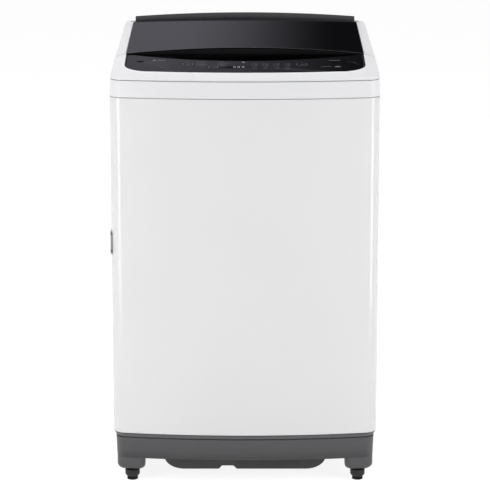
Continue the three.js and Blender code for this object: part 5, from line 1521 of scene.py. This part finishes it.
@dataclass(frozen=True)
class Key:
    """One key of the control panel."""

    name: str
    x: float
    y: float
    shape: KeyShape

    def outline(self, grow: float) -> Array:
        """The key's outline in plan: a circle or a rounded rectangle.

        Args:
            grow: distance out from the key's own edge.

        Returns:
            Points of shape (n, 2).
        """
        width, length, corner = self.shape.value
        if self.shape is KeyShape.ROUND:
            return circle(self.x, self.y, corner + grow, 64)
        return rounded_rectangle(self.x, self.y, width + 2 * grow, length + 2 * grow, corner + grow)


@dataclass
class ControlPanel:
    """The gloss black fascia with its keys, plugs and printed marks, and the circuit board behind it."""

    keys: tuple[Key, ...] = (
        Key("power_key", -0.115, -0.154, KeyShape.ROUND),
        Key("start_key", 0.115, -0.154, KeyShape.ROUND),
        Key("program_key", -0.0635, -0.175, KeyShape.WIDE),
        Key("option_key_1", 0.020, -0.175, KeyShape.SMALL),
        Key("option_key_2", 0.042, -0.175, KeyShape.SMALL),
        Key("option_key_3", 0.064, -0.175, KeyShape.SMALL),
        Key("option_key_4", 0.086, -0.175, KeyShape.SMALL),
    )
    key_top: float = 0.0004
    flange_low: float = -0.0045
    flange_top: float = -0.0033
    flange_grow: float = 0.0017
    stem_low: float = -0.0127
    stem_radius: float = 0.0025
    key_edge: float = 0.0004
    plug: Pair = (0.212, -0.132)
    plug_radius: float = 0.0075
    plug_span: Pair = (-0.003, -0.0006)
    board: tuple[float, float, float] = (0.190, -0.196, -0.140)
    board_top: float = -0.014
    board_thickness: float = 0.0016
    chips: tuple[tuple[float, float, float, float, float], ...] = (
        (-0.12, -0.170, 0.030, 0.018, 0.006),
        (0.0, -0.160, 0.022, 0.022, 0.003),
        (0.08, -0.160, 0.016, 0.012, 0.005),
        (0.15, -0.172, 0.026, 0.014, 0.007),
        (-0.165, -0.165, 0.014, 0.024, 0.008),
    )
    ink: float = 0.00008
    ring_mark: Pair = (-0.0016, -0.0025)
    dial_mark: Pair = (0.0042, 0.0051)
    bar_places: tuple[float, ...] = (-0.021, -0.0125, -0.0035)
    program_columns: Pair = (-0.085, -0.042)
    program_widths: tuple[float, ...] = (0.016, 0.012, 0.018, 0.013)
    program_top: float = -0.136
    program_step: float = 0.0085
    option_columns: tuple[float, ...] = (0.020, 0.042, 0.064, 0.086)
    option_widths: tuple[float, ...] = (0.009, 0.007, 0.008)
    option_top: float = -0.148
    option_step: float = 0.0065
    side_marks: tuple[tuple[float, float, float, float], ...] = (
        (-0.1840, -0.1225, 0.0075, 0.0075),
        (-0.1690, -0.1225, 0.0155, 0.0034),
        (0.1810, -0.1230, 0.0235, 0.0022),
        (0.1635, -0.1700, 0.0215, 0.0016),
        (0.1865, -0.1700, 0.0125, 0.0062),
    )
    half: float = 0.240
    corner: float = 0.048
    front: float = -0.205
    sag: float = 0.010
    rear: float = -0.0785
    bezel: Profile = ((-0.0004, -0.0002), (-0.0004, 0.00012), (0.0, 0.0003), (0.0023, 0.0003),
                      (0.0030, 0.0001), (0.0030, -0.0004))
    lip: Profile = ((0.0030, -0.0004), (0.0031, 0.0004), (0.0037, 0.0008), (0.0050, 0.0008),
                    (0.0062, 0.0003), (0.0066, -0.0004))

    def build(self) -> None:
        """Builds every piece of the sub-assembly."""
        carried("control_fascia", "fascia_plate", GLOSS_BLACK, 0.0004, 2, "cabinet", "gloss_black", 24)
        show(self.trim("fascia_bezel", self.bezel, GLOSS_BLACK), "cabinet", "gloss_black")
        show(self.trim("fascia_lip", self.lip, WHITE_MOULDING), "cabinet", "white_plastic")
        for key in self.keys:
            self.key(key)
        for side, label in ((-1, "left"), (1, "right")):
            outline = circle(side * self.plug[0], self.plug[1], self.plug_radius, squeeze=2 / 3)
            maker = slab(MeshMaker(), outline, *self.plug_span, 0.0006)
            show(maker.object(f"plug_{label}", RUBBER), "cabinet", "black_rubber", f"screw_plug_{label}")
        self.circuit()
        self.print()

    def edge(self, grow: float) -> Array:
        """The fascia's sides and front, grown: straight sides, quarter circles and a bowed front edge.

        Args:
            grow: distance out from the fascia.

        Returns:
            Points from the left rear end round the front to the right rear end.
        """
        half, radius, front = self.half + grow, self.corner + grow, self.front - grow
        x = np.linspace(-1, 1, 65) * (half - radius)
        bowed = np.stack([x, front - bow(x, half - radius, self.sag)], -1)
        left = arc(-half + radius, front + radius, radius, 2 * QUARTER, 3 * QUARTER, 12)
        right = left[::-1] * np.array([-1, 1])
        ends = np.array([[-half, self.rear], [half, self.rear]])
        return np.concatenate([ends[:1], left[:-1], bowed, right[1:], ends[1:]])

    def trim(self, name: str, section: Sequence[Pair], finish: Finish) -> Piece:
        """A slim section carried round the fascia's edge.

        Args:
            name: the piece's name.
            section: (distance out, height over the panel) pairs.
            finish: its finish.

        Returns:
            The new object.
        """
        rows = np.stack([PANEL.on(self.edge(grow), high) for grow, high in section], 1)
        return MeshMaker().solid(rows, flip=True).object(name, finish)

    def key(self, key: Key) -> None:
        """One key: cap, hidden flange and stem as stacked outlines, and a printed mark on its top.

        Args:
            key: the key to build.
        """
        edge, top = self.key_edge, self.key_top
        cap = ((self.flange_grow, self.flange_low), (self.flange_grow, self.flange_top), (0, self.flange_top),
               (0, top - edge), (-0.3 * edge, top - 0.3 * edge), (-edge, top), (-0.0022, top - 0.0001))
        maker = MeshMaker().solid(np.stack([PANEL.on(key.outline(grow), high) for grow, high in cap]))
        stem = circle(key.x, key.y, self.stem_radius, 20)
        maker.solid(np.stack([PANEL.on(stem, high) for high in (self.stem_low, self.flange_low)]))
        self.key_mark(key, maker)
        show(maker.object(f"{key.name}_cap", GLOSS_BLACK, PRINT_GREY), key.name, "gloss_black", key.name)

    def key_mark(self, key: Key, maker: MeshMaker) -> None:
        """A ring with a dial and a dash in it on a round key, a frame on the wide one, a bar on a small one.

        Args:
            key: the key.
            maker: the key's mesh, which the mark joins as its second material.
        """
        height = self.key_top + self.ink
        if key.shape is KeyShape.SMALL:
            self.flat(maker, rounded_rectangle(key.x, key.y + 0.0008, 0.009, 0.0013, 0.0005, 3), height)
            return
        ring = [PANEL.on(key.outline(grow), height) for grow in self.ring_mark]
        maker.grid(np.stack(ring), wrap_columns=True, tag=1)
        if key.shape is KeyShape.ROUND:
            dial = [arc(key.x, key.y - 0.0005, radius, -0.1 * math.pi, -0.9 * math.pi, 24)
                    for radius in self.dial_mark]
            maker.grid(np.stack([PANEL.on(line, height) for line in dial]), tag=1)
            self.flat(maker, rounded_rectangle(key.x, key.y + 0.002, 0.0011, 0.006, 0.0005, 3), height)

    def flat(self, maker: MeshMaker, outline: Array, height: float, tag: int = 1) -> None:
        """Adds one flat printed face.

        Args:
            maker: the mesh to add to.
            outline: the mark's outline, anticlockwise.
            height: its height over the panel.
            tag: its material slot.
        """
        maker.grid(np.stack([PANEL.on(outline, height)] * 2), wrap_columns=True,
                   keep=np.zeros((1, len(outline)), bool), caps=(False, True), tag=tag)

    def circuit(self) -> None:
        """The circuit board and its components."""
        (half, front, rear), top = self.board, self.board_top
        outline = rounded_rectangle(0, (front + rear) / 2, 2 * half, rear - front, 0.003, 3)
        maker = slab(MeshMaker(), outline, top - self.board_thickness, top, 0.0001)
        for x, y, width, length, height in self.chips:
            slab(maker, rounded_rectangle(x, y, width, length, 0.001, 2), top - 0.0002, top + height, 0.0004,
                 tag=1)
        show(maker.object("circuit_board", CIRCUIT_GREEN, DARK_MOULDING), "cabinet", "circuit_board",
             "control_board")

    def print(self) -> None:
        """The printed marks of the fascia: bars, dots and short lines in place of words."""
        maker = MeshMaker()
        marks = [(x, -0.1725, 0.0058, 0.0028, 0) for x in self.bar_places]
        marks.append((self.bar_places[-1], self.program_top, 0.0060, 0.0024, 0))
        for column, x in enumerate(self.program_columns):
            for row, y in enumerate(self.program_top - self.program_step * np.arange(4)):
                width = self.program_widths[(row + column) % 4]
                marks += [(x - 0.010 + width / 2, y, width, 0.0014, 1), (x - 0.0125, y, 0.0022, 0.0022, 1)]
        for x in self.option_columns:
            for row, width in enumerate(self.option_widths):
                y = self.option_top - self.option_step * row
                marks += [(x - 0.0055, y, 0.0018, 0.0018, 1), (x + 0.002, y, width, 0.0012, 1)]
            marks.append((x, -0.1835, 0.010, 0.0013, 1))
        marks += [(*mark, 1) for mark in self.side_marks]
        for x, y, width, length, tag in marks:
            corner = 0.45 * min(width, length)
            self.flat(maker, rounded_rectangle(x, y, width, length, corner, 3), self.ink, tag)
        show(maker.object("panel_print", PRINT_WHITE, PRINT_GREY), "cabinet", "white_plastic")


# -------------------- water fittings and detergent drawer


@dataclass
class WaterFittings:
    """The two inlet valves, the cord gland and the drain outlet at the back."""

    inlets: tuple[tuple[str, float], ...] = (("cold", -0.190), ("hot", -0.130))
    inlet_z: float = 0.826
    mouth_y: float = 0.2752

    def build(self) -> None:
        """Builds every piece of the sub-assembly."""
        for name, x in self.inlets:
            carried(f"{name}_inlet_valve", f"{name}_valve", WHITE_MOULDING, 0.0009, 3, "cabinet",
                    "white_plastic")
            self.seal(name, x)
        carried("cord_gland", "mains_gland", DARK_MOULDING, 0.0009, 3, "cabinet", "dark_plastic")
        carried("drain_outlet", "drain_spigot", BASE_GREY, 0.0009, 3, "cabinet", "grey_plastic")

    def seal(self, name: str, x: float) -> None:
        """The rubber seal in a spigot's mouth: a ring turned about the spigot's axis.

        Args:
            name: the valve's name.
            x: the spigot's place across the machine.
        """
        section = rounded([(0.0075, 0), (0.0088, 0), (0.0088, 0.002), (0.0075, 0.002)], 0.0005, True)
        placed = laid_back(turned(section, 0, 0, 40), x, self.mouth_y - 0.004, self.inlet_z)
        show(MeshMaker().loop(placed).object(f"{name}_valve_seal", RUBBER), "cabinet", "black_rubber")


@dataclass
class DetergentDrawer:
    """The drawer behind the mouth and the housing that guides it."""

    def build(self) -> None:
        """Builds every piece of the sub-assembly."""
        carried("drawer_housing", "drawer_guide", WHITE_MOULDING, 0.0006, 2, "cabinet", "white_plastic")
        carried("detergent_drawer", "detergent_tray", WHITE_MOULDING, 0.0006, 2, "drawer", "white_plastic")


# -------------------- tub, basket and pulsator


@dataclass
class Tub:
    """The outer tub, its cover and the drain valve under it."""

    cover_radius: float = 0.236
    cover_mouth: float = 0.176
    cover_low: float = 0.7753
    cover_high: float = 0.7903
    skin: float = 0.004
    slope: float = 0.040
    ribs: int = 24
    rib_height: float = 0.0011

    def build(self) -> None:
        """Builds every piece of the sub-assembly."""
        carried("outer_tub", "outer_tub_shell", TUB_GREY, 0.001, 2, "tub", "tub_plastic")
        self.cover()
        carried("drain_valve", "drain_valve_body", DARK_MOULDING, 0.001, 2, "tub", "dark_plastic")

    def cover(self) -> None:
        """The tub's cover: a turned ring with radial ribs.

        The ribs raise the sloping shoulder by a narrow cosine power of the angle, and fade out towards
        the mouth and the outer rim.
        """
        columns = 288
        under, over = self.cover_high - self.skin, self.cover_high - self.rib_height - 0.0001
        profile = rounded([
            (self.cover_mouth, under), (self.cover_radius - self.slope, under),
            (self.cover_radius, self.cover_low), (self.cover_radius, self.cover_low + 0.003),
            (self.cover_radius + 0.003 - self.slope, over), (self.cover_mouth, over)], 0.0008, True, 3)
        surface = turned(profile, 0, TUB_Y, columns)
        rib = np.clip(np.cos(self.ribs * round_angles(columns) / 2) ** 2, 0, 1) ** 6
        row = np.arange(len(profile))
        upper = (row >= len(profile) * 4 // 6) & (row < len(profile) - 2)
        surface[..., 2] += self.rib_height * rib[None] * upper[:, None]
        show(MeshMaker().loop(surface).object("tub_rim_cover", TUB_GREY), "tub", "tub_plastic", "tub_cover")


@dataclass
class Basket:
    """The perforated steel basket, its balance ring, hub and lint filter."""

    radius: float = 0.212
    wall: float = 0.001
    low: float = 0.362
    high: float = 0.742
    bend: float = 0.026
    hole: float = 0.013
    cells_round: int = 66
    cells_high: int = 20
    punch_low: float = 0.405
    punch_high: float = 0.712
    hole_radius: float = 0.0022
    ring_inner: float = 0.172
    ring_outer: float = 0.216
    ring_low: float = 0.722
    ring_high: float = 0.760
    play: float = 0.0003
    filter_low: float = 0.500
    filter_high: float = 0.650
    filter_half: float = 0.032
    filter_depth: float = 0.014
    hub: Profile = (
        (0.0065, 0.2367), (0.012, 0.2367), (0.012, 0.3357), (0.024, 0.3537), (0.070, 0.3537),
        (0.070, 0.3617), (0.012, 0.3617), (0.012, 0.3657), (0.0065, 0.3657))

    def build(self) -> None:
        """Builds every piece of the sub-assembly."""
        self.walls()
        self.ring()
        show(lathe("basket_hub_casting", CAST_METAL, self.hub, 0, TUB_Y, 0.0008, True), "basket",
             "cast_alloy", "basket_hub")
        self.filter()

    def ripple(self, angle: Array, height: Array) -> Array:
        """How far the wall is pressed inwards: broad flutes round it, fading out towards both ends."""
        fade = np.clip(np.minimum(height - self.punch_low, self.punch_high - height) / 0.03, 0, 1)
        return 0.0016 * fade * (0.5 - 0.5 * np.cos(11 * angle)) ** 2

    def on_wall(self, angle: Array, height: Array) -> Array:
        """Points of the wall: radius less ripple, times cosine and sine of the angle."""
        radius = self.radius - self.ripple(angle, height)
        return np.stack([radius * np.cos(angle), TUB_Y + radius * np.sin(angle), height], -1)

    def walls(self) -> None:
        """The wall as a lattice of cells with a round hole in each, a turned floor and a plain rim band.

        Every cell joins its eight border points to eight points of its hole.
        """
        rows, columns = self.cells_high, self.cells_round
        angle = round_angles(2 * columns)
        height = np.linspace(self.punch_low, self.punch_high, 2 * rows + 1)
        lattice = self.on_wall(*np.broadcast_arrays(angle[None], height[:, None]))
        count = lattice.shape[0] * lattice.shape[1]
        index = np.arange(count).reshape(lattice.shape[:2])
        up, across = np.array([(0, 0), (0, 1), (0, 2), (1, 2), (2, 2), (2, 1), (2, 0), (1, 0)]).T
        row, column = np.meshgrid(2 * np.arange(rows), 2 * np.arange(columns), indexing="ij")
        border = index[row[..., None] + up, (column[..., None] + across) % (2 * columns)]
        turn = np.arctan2(up - 1, across - 1)
        middle_angle = angle[column + 1][..., None] + self.hole_radius / self.radius * np.cos(turn)
        middle_height = height[row + 1][..., None] + self.hole_radius * np.sin(turn)
        holes = self.on_wall(*np.broadcast_arrays(middle_angle, middle_height))
        inner = count + np.arange(rows * columns * 8).reshape(rows, columns, 8)
        quads = np.stack([border, np.roll(border, -1, 2), np.roll(inner, -1, 2), inner], -1).reshape(-1, 4)
        maker = MeshMaker()
        maker.patch(np.concatenate([lattice.reshape(-1, 3), holes.reshape(-1, 3)]), quads)
        rim = np.linspace(self.punch_high, self.high, 4)
        maker.grid(self.on_wall(*np.broadcast_arrays(angle[None], rim[:, None])), wrap_columns=True)
        low, out = self.low, self.radius
        floor = rounded([(self.hole, low), (0.060, low), (0.066, low + 0.0005),
                         (out - self.bend, low + 0.0005), (out - 0.0078, low + 0.0078),
                         (out, low + self.bend), (out, self.punch_low)], 0.008, steps=5)
        maker.grid(turned(floor, 0, TUB_Y, 2 * columns), wrap_columns=True)
        basket = merged(maker.object("spin_basket", BASKET_STEEL))
        show(walled(basket, self.wall), "basket", "basket_steel", "basket")

    def ring(self) -> None:
        """The balance ring: a rounded ring turned with a slot for the basket's rim."""
        wall, slot = self.radius - self.wall - self.play, self.radius + self.play
        low, high, seat, edge = self.ring_low, self.ring_high, self.high + self.play, 0.006
        inner, outer = self.ring_inner, self.ring_outer
        profile = rounded([
            (inner + edge, low), (wall, low), (wall, seat), (slot, seat), (slot, low), (outer, low),
            (outer, high - edge), (outer - edge, high), (inner + edge, high), (inner, high - edge),
            (inner, low + edge)],
            (0.0012, 0.0003, 0.0003, 0.0003, 0.0003, 0.001, 0.004, 0.004, 0.004, 0.004, 0.004), True, 4)
        ring = MeshMaker().loop(turned(profile, 0, TUB_Y, 240)).object("balance_ring_moulding", TUB_GREY)
        show(ring, "basket", "tub_plastic", "balance_ring")

    def filter(self) -> None:
        """The lint filter: a curved box with a grille of slots, as a height field over angle and height."""
        inside = self.radius - self.wall
        outer, inner = inside - 0.0004, inside - self.play - self.filter_depth
        half = math.asin(self.filter_half / inner) - 0.001
        across, up = np.meshgrid(np.linspace(-1, 1, 97), np.linspace(0, 1, 121))
        edge = np.clip(np.minimum((1 - abs(across)) / 0.10, np.minimum(up, 1 - up) / 0.05), 0, 1)
        dome = np.sin(edge * QUARTER) ** 0.7
        window = (abs(across) < 0.72) & (up > 0.12) & (up < 0.80)
        slots = np.where(window, np.clip(np.sin(up * math.pi * 44), 0, 1) ** 0.5, 0)
        radius = outer - (outer - inner) * dome + 0.0022 * slots - 0.0001
        angle = across * half
        height = self.filter_low + 0.0003 + up * (self.filter_high - self.filter_low - 0.0006)
        face = np.stack([radius * np.cos(angle), TUB_Y + radius * np.sin(angle), height], -1)
        back = np.stack([outer * np.cos(angle), TUB_Y + outer * np.sin(angle), height], -1)
        rim = np.stack([border(face), border(back)])
        maker = MeshMaker().grid(face, flip=True).grid(back).grid(rim, wrap_columns=True)
        show(merged(maker.object("lint_filter_grille", PALE_BLUE, angle=50)), "basket", "blue_plastic",
             "lint_filter")


@dataclass
class Pulsator:
    """The pulsator disc with its swept fins, its cap and the wash shaft."""

    radius: float = 0.165
    low: float = 0.3673
    high: float = 0.3993
    rim: float = 0.014
    bore: float = 0.0063
    fins: int = 4
    sweep: float = 0.35
    fin_height: float = 0.0125
    ribs: int = 48
    rib_height: float = 0.0008
    cap_radius: float = 0.022
    shaft_low: float = 0.2084
    shaft_radius: float = 0.006

    def build(self) -> None:
        """Builds every piece of the sub-assembly."""
        self.disc()
        high, out = self.high, self.cap_radius
        cap = lathe("pulsator_button", WHITE_MOULDING,
                    [(0.002, high + 0.0003), (out, high + 0.0003), (out, high + 0.0033),
                     (out - 0.005, high + 0.0083), (0.008, high + 0.0100), (0.006, high + 0.0088),
                     (0.0015, high + 0.0086)], 0, TUB_Y, 0.002)
        show(cap, "pulsator", "white_plastic", "pulsator_cap")
        shaft = lathe("wash_spindle", ZINC_STEEL,
                      [(0.001, self.shaft_low), (self.shaft_radius, self.shaft_low),
                       (self.shaft_radius, high), (0.001, high)], 0, TUB_Y, 0.0008)
        show(shaft, "pulsator", "bright_steel", "wash_shaft")

    def disc(self) -> None:
        """The disc: a turned profile whose upper side is raised by fins and a ring of fine ribs near the rim.

        A fin's height is a narrow Gaussian across its centre line, which bends with the radius, times a
        half sine along it. A rib's height is a raised cosine of the angle that fades out along the radius.
        """
        columns = 288
        low, out, tall = self.low, self.radius, self.high - self.low
        neck = out - 0.7 * self.rim
        under = rounded([(self.bore, low), (out - self.rim, low), (out, low + 0.3 * tall),
                         (out, low + 0.5 * tall), (neck, low + 0.4 * tall)], 0.003, steps=4)
        radii = np.linspace(out - 0.8 * self.rim, self.bore, 64)
        top = low + np.interp(radii, (self.bore, 0.16 * out, 0.36 * out, neck),
                              (tall, tall - 0.002, 0.45 * tall, 0.4 * tall))
        smooth = np.convolve(np.pad(top, 3, mode="edge"), np.ones(7) / 7, mode="valid").clip(max=self.high)
        surface = turned(np.concatenate([under, np.stack([radii, smooth], -1)]), 0, TUB_Y, columns)
        angle = round_angles(columns)[None]
        radius = np.concatenate([under[:, 0], radii])[:, None]
        upper = (np.arange(len(surface)) >= len(under))[:, None]
        start, end = self.cap_radius + 0.004, self.radius - 0.018
        along = ramped(radius, start, end - start)
        swept = self.sweep * along ** 1.5
        offset = (angle - swept + math.pi / self.fins) % (TURN / self.fins) - math.pi / self.fins
        breadth = 0.016 - 0.004 * along
        fin = np.exp(-((offset * radius) / breadth) ** 2) * np.sin(math.pi * along) ** 0.6
        room = self.high - 0.0005 - surface[..., 2]
        lift = np.minimum(self.fin_height * fin * upper, room.clip(0))
        fade = np.clip(1 - abs(along - 0.93) / 0.06, 0, 1)
        ribs = self.rib_height * (0.5 - 0.5 * np.cos(self.ribs * angle)) * fade * upper
        surface[..., 2] += lift + ribs
        disc = MeshMaker().loop(surface).object("pulsator_disc", PALE_BLUE, angle=60)
        show(disc, "pulsator", "blue_plastic", "pulsator")


# -------------------- drive and suspension


@dataclass
class Drive:
    """The steel plate, clutch, motor, pulleys and belt under the tub."""

    motor_y: float = 0.144
    low: float = 0.1964
    plate: float = 0.2954
    motor_top: float = 0.2764
    motor_radius: float = 0.055
    fin_depth: float = 0.0018
    pulley_low: float = 0.1644
    pulley_width: float = 0.018
    belt_width: float = 0.010
    belt_thickness: float = 0.006
    pulley_radius: float = 0.080
    motor_pulley_radius: float = 0.022
    shaft_radius: float = 0.006

    def build(self) -> None:
        """Builds every piece of the sub-assembly."""
        carried("drive_plate", "drive_carrier_plate", ZINC_STEEL, 0.0008, 2, "tub", "bright_steel")
        clutch = lathe("clutch_casting", CAST_METAL,
                       [(0.0065, self.low), (0.0336, self.low), (0.0384, 0.2105), (0.052, 0.2184),
                        (0.052, 0.2834), (0.060, 0.2874), (0.060, self.plate), (0.024, self.plate),
                        (0.024, 0.314), (0.0125, 0.314), (0.0125, 0.2347), (0.0065, 0.2347)],
                       0, TUB_Y, 0.0015, True)
        show(clutch, "tub", "cast_alloy", "clutch_housing")
        self.motor()
        for name, node, y, radius, shaft_top in (
                ("large_pulley", "drive_pulley", TUB_Y, self.pulley_radius, 0.2064),
                ("small_pulley", "motor_pulley", self.motor_y, self.motor_pulley_radius, 0.2724)):
            self.pulley(name, node, y, radius, shaft_top)
        self.belt()

    def motor(self) -> None:
        """The motor: a turned can with a finned waist, as a fine saw on the radius."""
        low, high, can, collar, waist = self.low, self.motor_top, self.motor_radius, 0.014, 25
        height = np.linspace(low + collar, high - collar, waist)
        fins = np.stack([can - np.where(np.arange(waist) % 2, self.fin_depth, 0.0), height], -1)
        bottom = rounded([(0.0065, low), (0.0303, low), (can, low + 0.011), (can, low + collar)], 0.002)
        top = rounded([(can, high - collar), (can, high - 0.011), (0.044, high), (0.044, self.plate),
                       (0.0248, self.plate), (0.0248, high), (0.0065, high)], 0.001)
        profile = np.concatenate([bottom, fins[1:-1], top])
        motor = MeshMaker().loop(turned(profile, 0, self.motor_y)).object("motor_can", CAST_METAL)
        show(motor, "tub", "cast_alloy", "motor_housing")

    def pulley(self, name: str, node: str, y: float, radius: float, shaft_top: float) -> None:
        """A grooved pulley and its shaft.

        Args:
            name: the piece's name.
            node: the CAD node it stands for.
            y: the pulley's axis.
            radius: the pulley's radius.
            shaft_top: the end of its shaft.
        """
        low, high = self.pulley_low, self.pulley_low + self.pulley_width
        middle, half = (low + high) / 2, self.belt_width / 2 + 0.0003
        groove = radius - self.belt_thickness
        piece = lathe(name, CAST_METAL,
                      [(0.001, low), (radius, low), (radius, middle - half), (groove, middle - half),
                       (groove, middle + half), (radius, middle + half), (radius, high),
                       (self.shaft_radius, high), (self.shaft_radius, shaft_top), (0.001, shaft_top)],
                      0, y, 0.0006)
        show(piece, node if node == "drive_pulley" else "motor_rotor", "cast_alloy", node)

    def belt(self) -> None:
        """The belt: a rectangular section along two arcs and their common tangents."""
        middle = self.pulley_low + self.pulley_width / 2
        loops = []
        for grow in (0.0006, self.belt_thickness):
            large = self.pulley_radius - self.belt_thickness + grow
            small = self.motor_pulley_radius - self.belt_thickness + grow
            tilt = math.asin((large - small) / (self.motor_y - TUB_Y))
            loops.append(np.concatenate([arc(0, self.motor_y, small, tilt, math.pi - tilt, 24),
                                         arc(0, TUB_Y, large, math.pi - tilt, TURN + tilt, 64)]))
        inner, outer = loops
        low, high = middle - self.belt_width / 2, middle + self.belt_width / 2
        rows = [lifted(outer, low), lifted(outer, high), lifted(inner, high), lifted(inner, low)]
        belt = MeshMaker().loop(np.stack(rows)).object("drive_belt_loop", RUBBER)
        show(bevelled(belt, 0.0006, 2, 50), "tub", "black_rubber", "drive_belt")


@dataclass
class Suspension:
    """The four rods that carry the tub, and the coil springs on them."""

    low: float = 0.3250
    cup_radius: float = 0.020
    cup_height: float = 0.013
    rod_radius: float = 0.004
    seat: float = 0.7703
    head_radius: float = 0.013
    head_height: float = 0.010
    spring_radius: float = 0.015
    wire: float = 0.0022
    turns: float = 5.0
    level: Pair = (0.07, 0.86)
    spring_low: float = 0.3383
    spring_high: float = 0.4147

    def build(self) -> None:
        """Builds every piece of the sub-assembly."""
        for name, (sx, sy) in CORNERS.items():
            x, y = sx * ROD_PLACE[0], TUB_Y + sy * ROD_PLACE[1]
            self.hanger(name, x, y)
            self.spring(name, x, y)

    def hanger(self, name: str, x: float, y: float) -> None:
        """A rod with its cup and its rounded head.

        Args:
            name: the corner's name.
            x: the rod's place across the machine.
            y: its place along the machine.
        """
        low, tall, cup = self.low, self.cup_height, self.cup_radius
        seat, head = self.seat, self.head_radius
        rod = lathe(f"hanger_rod_{name}", ZINC_STEEL,
                    [(0.002, low), (0.75 * cup, low), (cup, low + tall / 2), (cup, low + tall),
                     (self.rod_radius, low + tall), (self.rod_radius, seat), (head, seat),
                     (0.75 * head, seat + 0.7 * self.head_height), (0.002, seat + self.head_height)],
                    x, y, 0.0012, columns=48)
        show(rod, "cabinet", "bright_steel", f"suspension_rod_{name}")

    def spring(self, name: str, x: float, y: float) -> None:
        """A coil spring: a circle carried along a helix, whose end turns lie flat.

        The helix rises with a ramp of the turn that stays level over a short share at each end.

        Args:
            name: the corner's name.
            x: the spring's place across the machine.
            y: its place along the machine.
        """
        share = np.linspace(0, 1, int(self.turns * 32) + 1)
        bottom, top = self.spring_low + self.wire + 0.0001, self.spring_high - self.wire - 0.0001
        angle = TURN * self.turns * share
        centre = spread(x + self.spring_radius * np.cos(angle), y + self.spring_radius * np.sin(angle),
                        bottom + (top - bottom) * ramped(share, *self.level))
        outward, up = spread(np.cos(angle), np.sin(angle), 0.0), np.array([0.0, 0.0, 1.0])
        turn = round_angles(10)[None, :, None]
        section = self.wire * (np.cos(turn) * outward[:, None] + np.sin(turn) * up)
        maker = MeshMaker().solid(centre[:, None] + section, flip=True)
        coil = maker.object(f"coil_spring_{name}", ZINC_STEEL)
        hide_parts(f"suspension_spring_{name}")
        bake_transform(coil)
        LOG.info("%s between cabinet and tub, %d faces", coil.name, len(coil.data.polygons))


# -------------------- whole machine

ASSEMBLIES = (Cabinet(), Base(), TopCover(), ControlPanel(), LID, WaterFittings(), DetergentDrawer(), Tub(),
              Basket(), Pulsator(), Drive(), Suspension())


def main() -> None:
    """Builds the studio and then every sub-assembly."""
    logging.basicConfig(level=logging.INFO, format="%(message)s")
    Studio().build()
    for assembly in ASSEMBLIES:
        LOG.info("building %s", type(assembly).__name__)
        assembly.build()


if __name__ == "__main__":
    main()
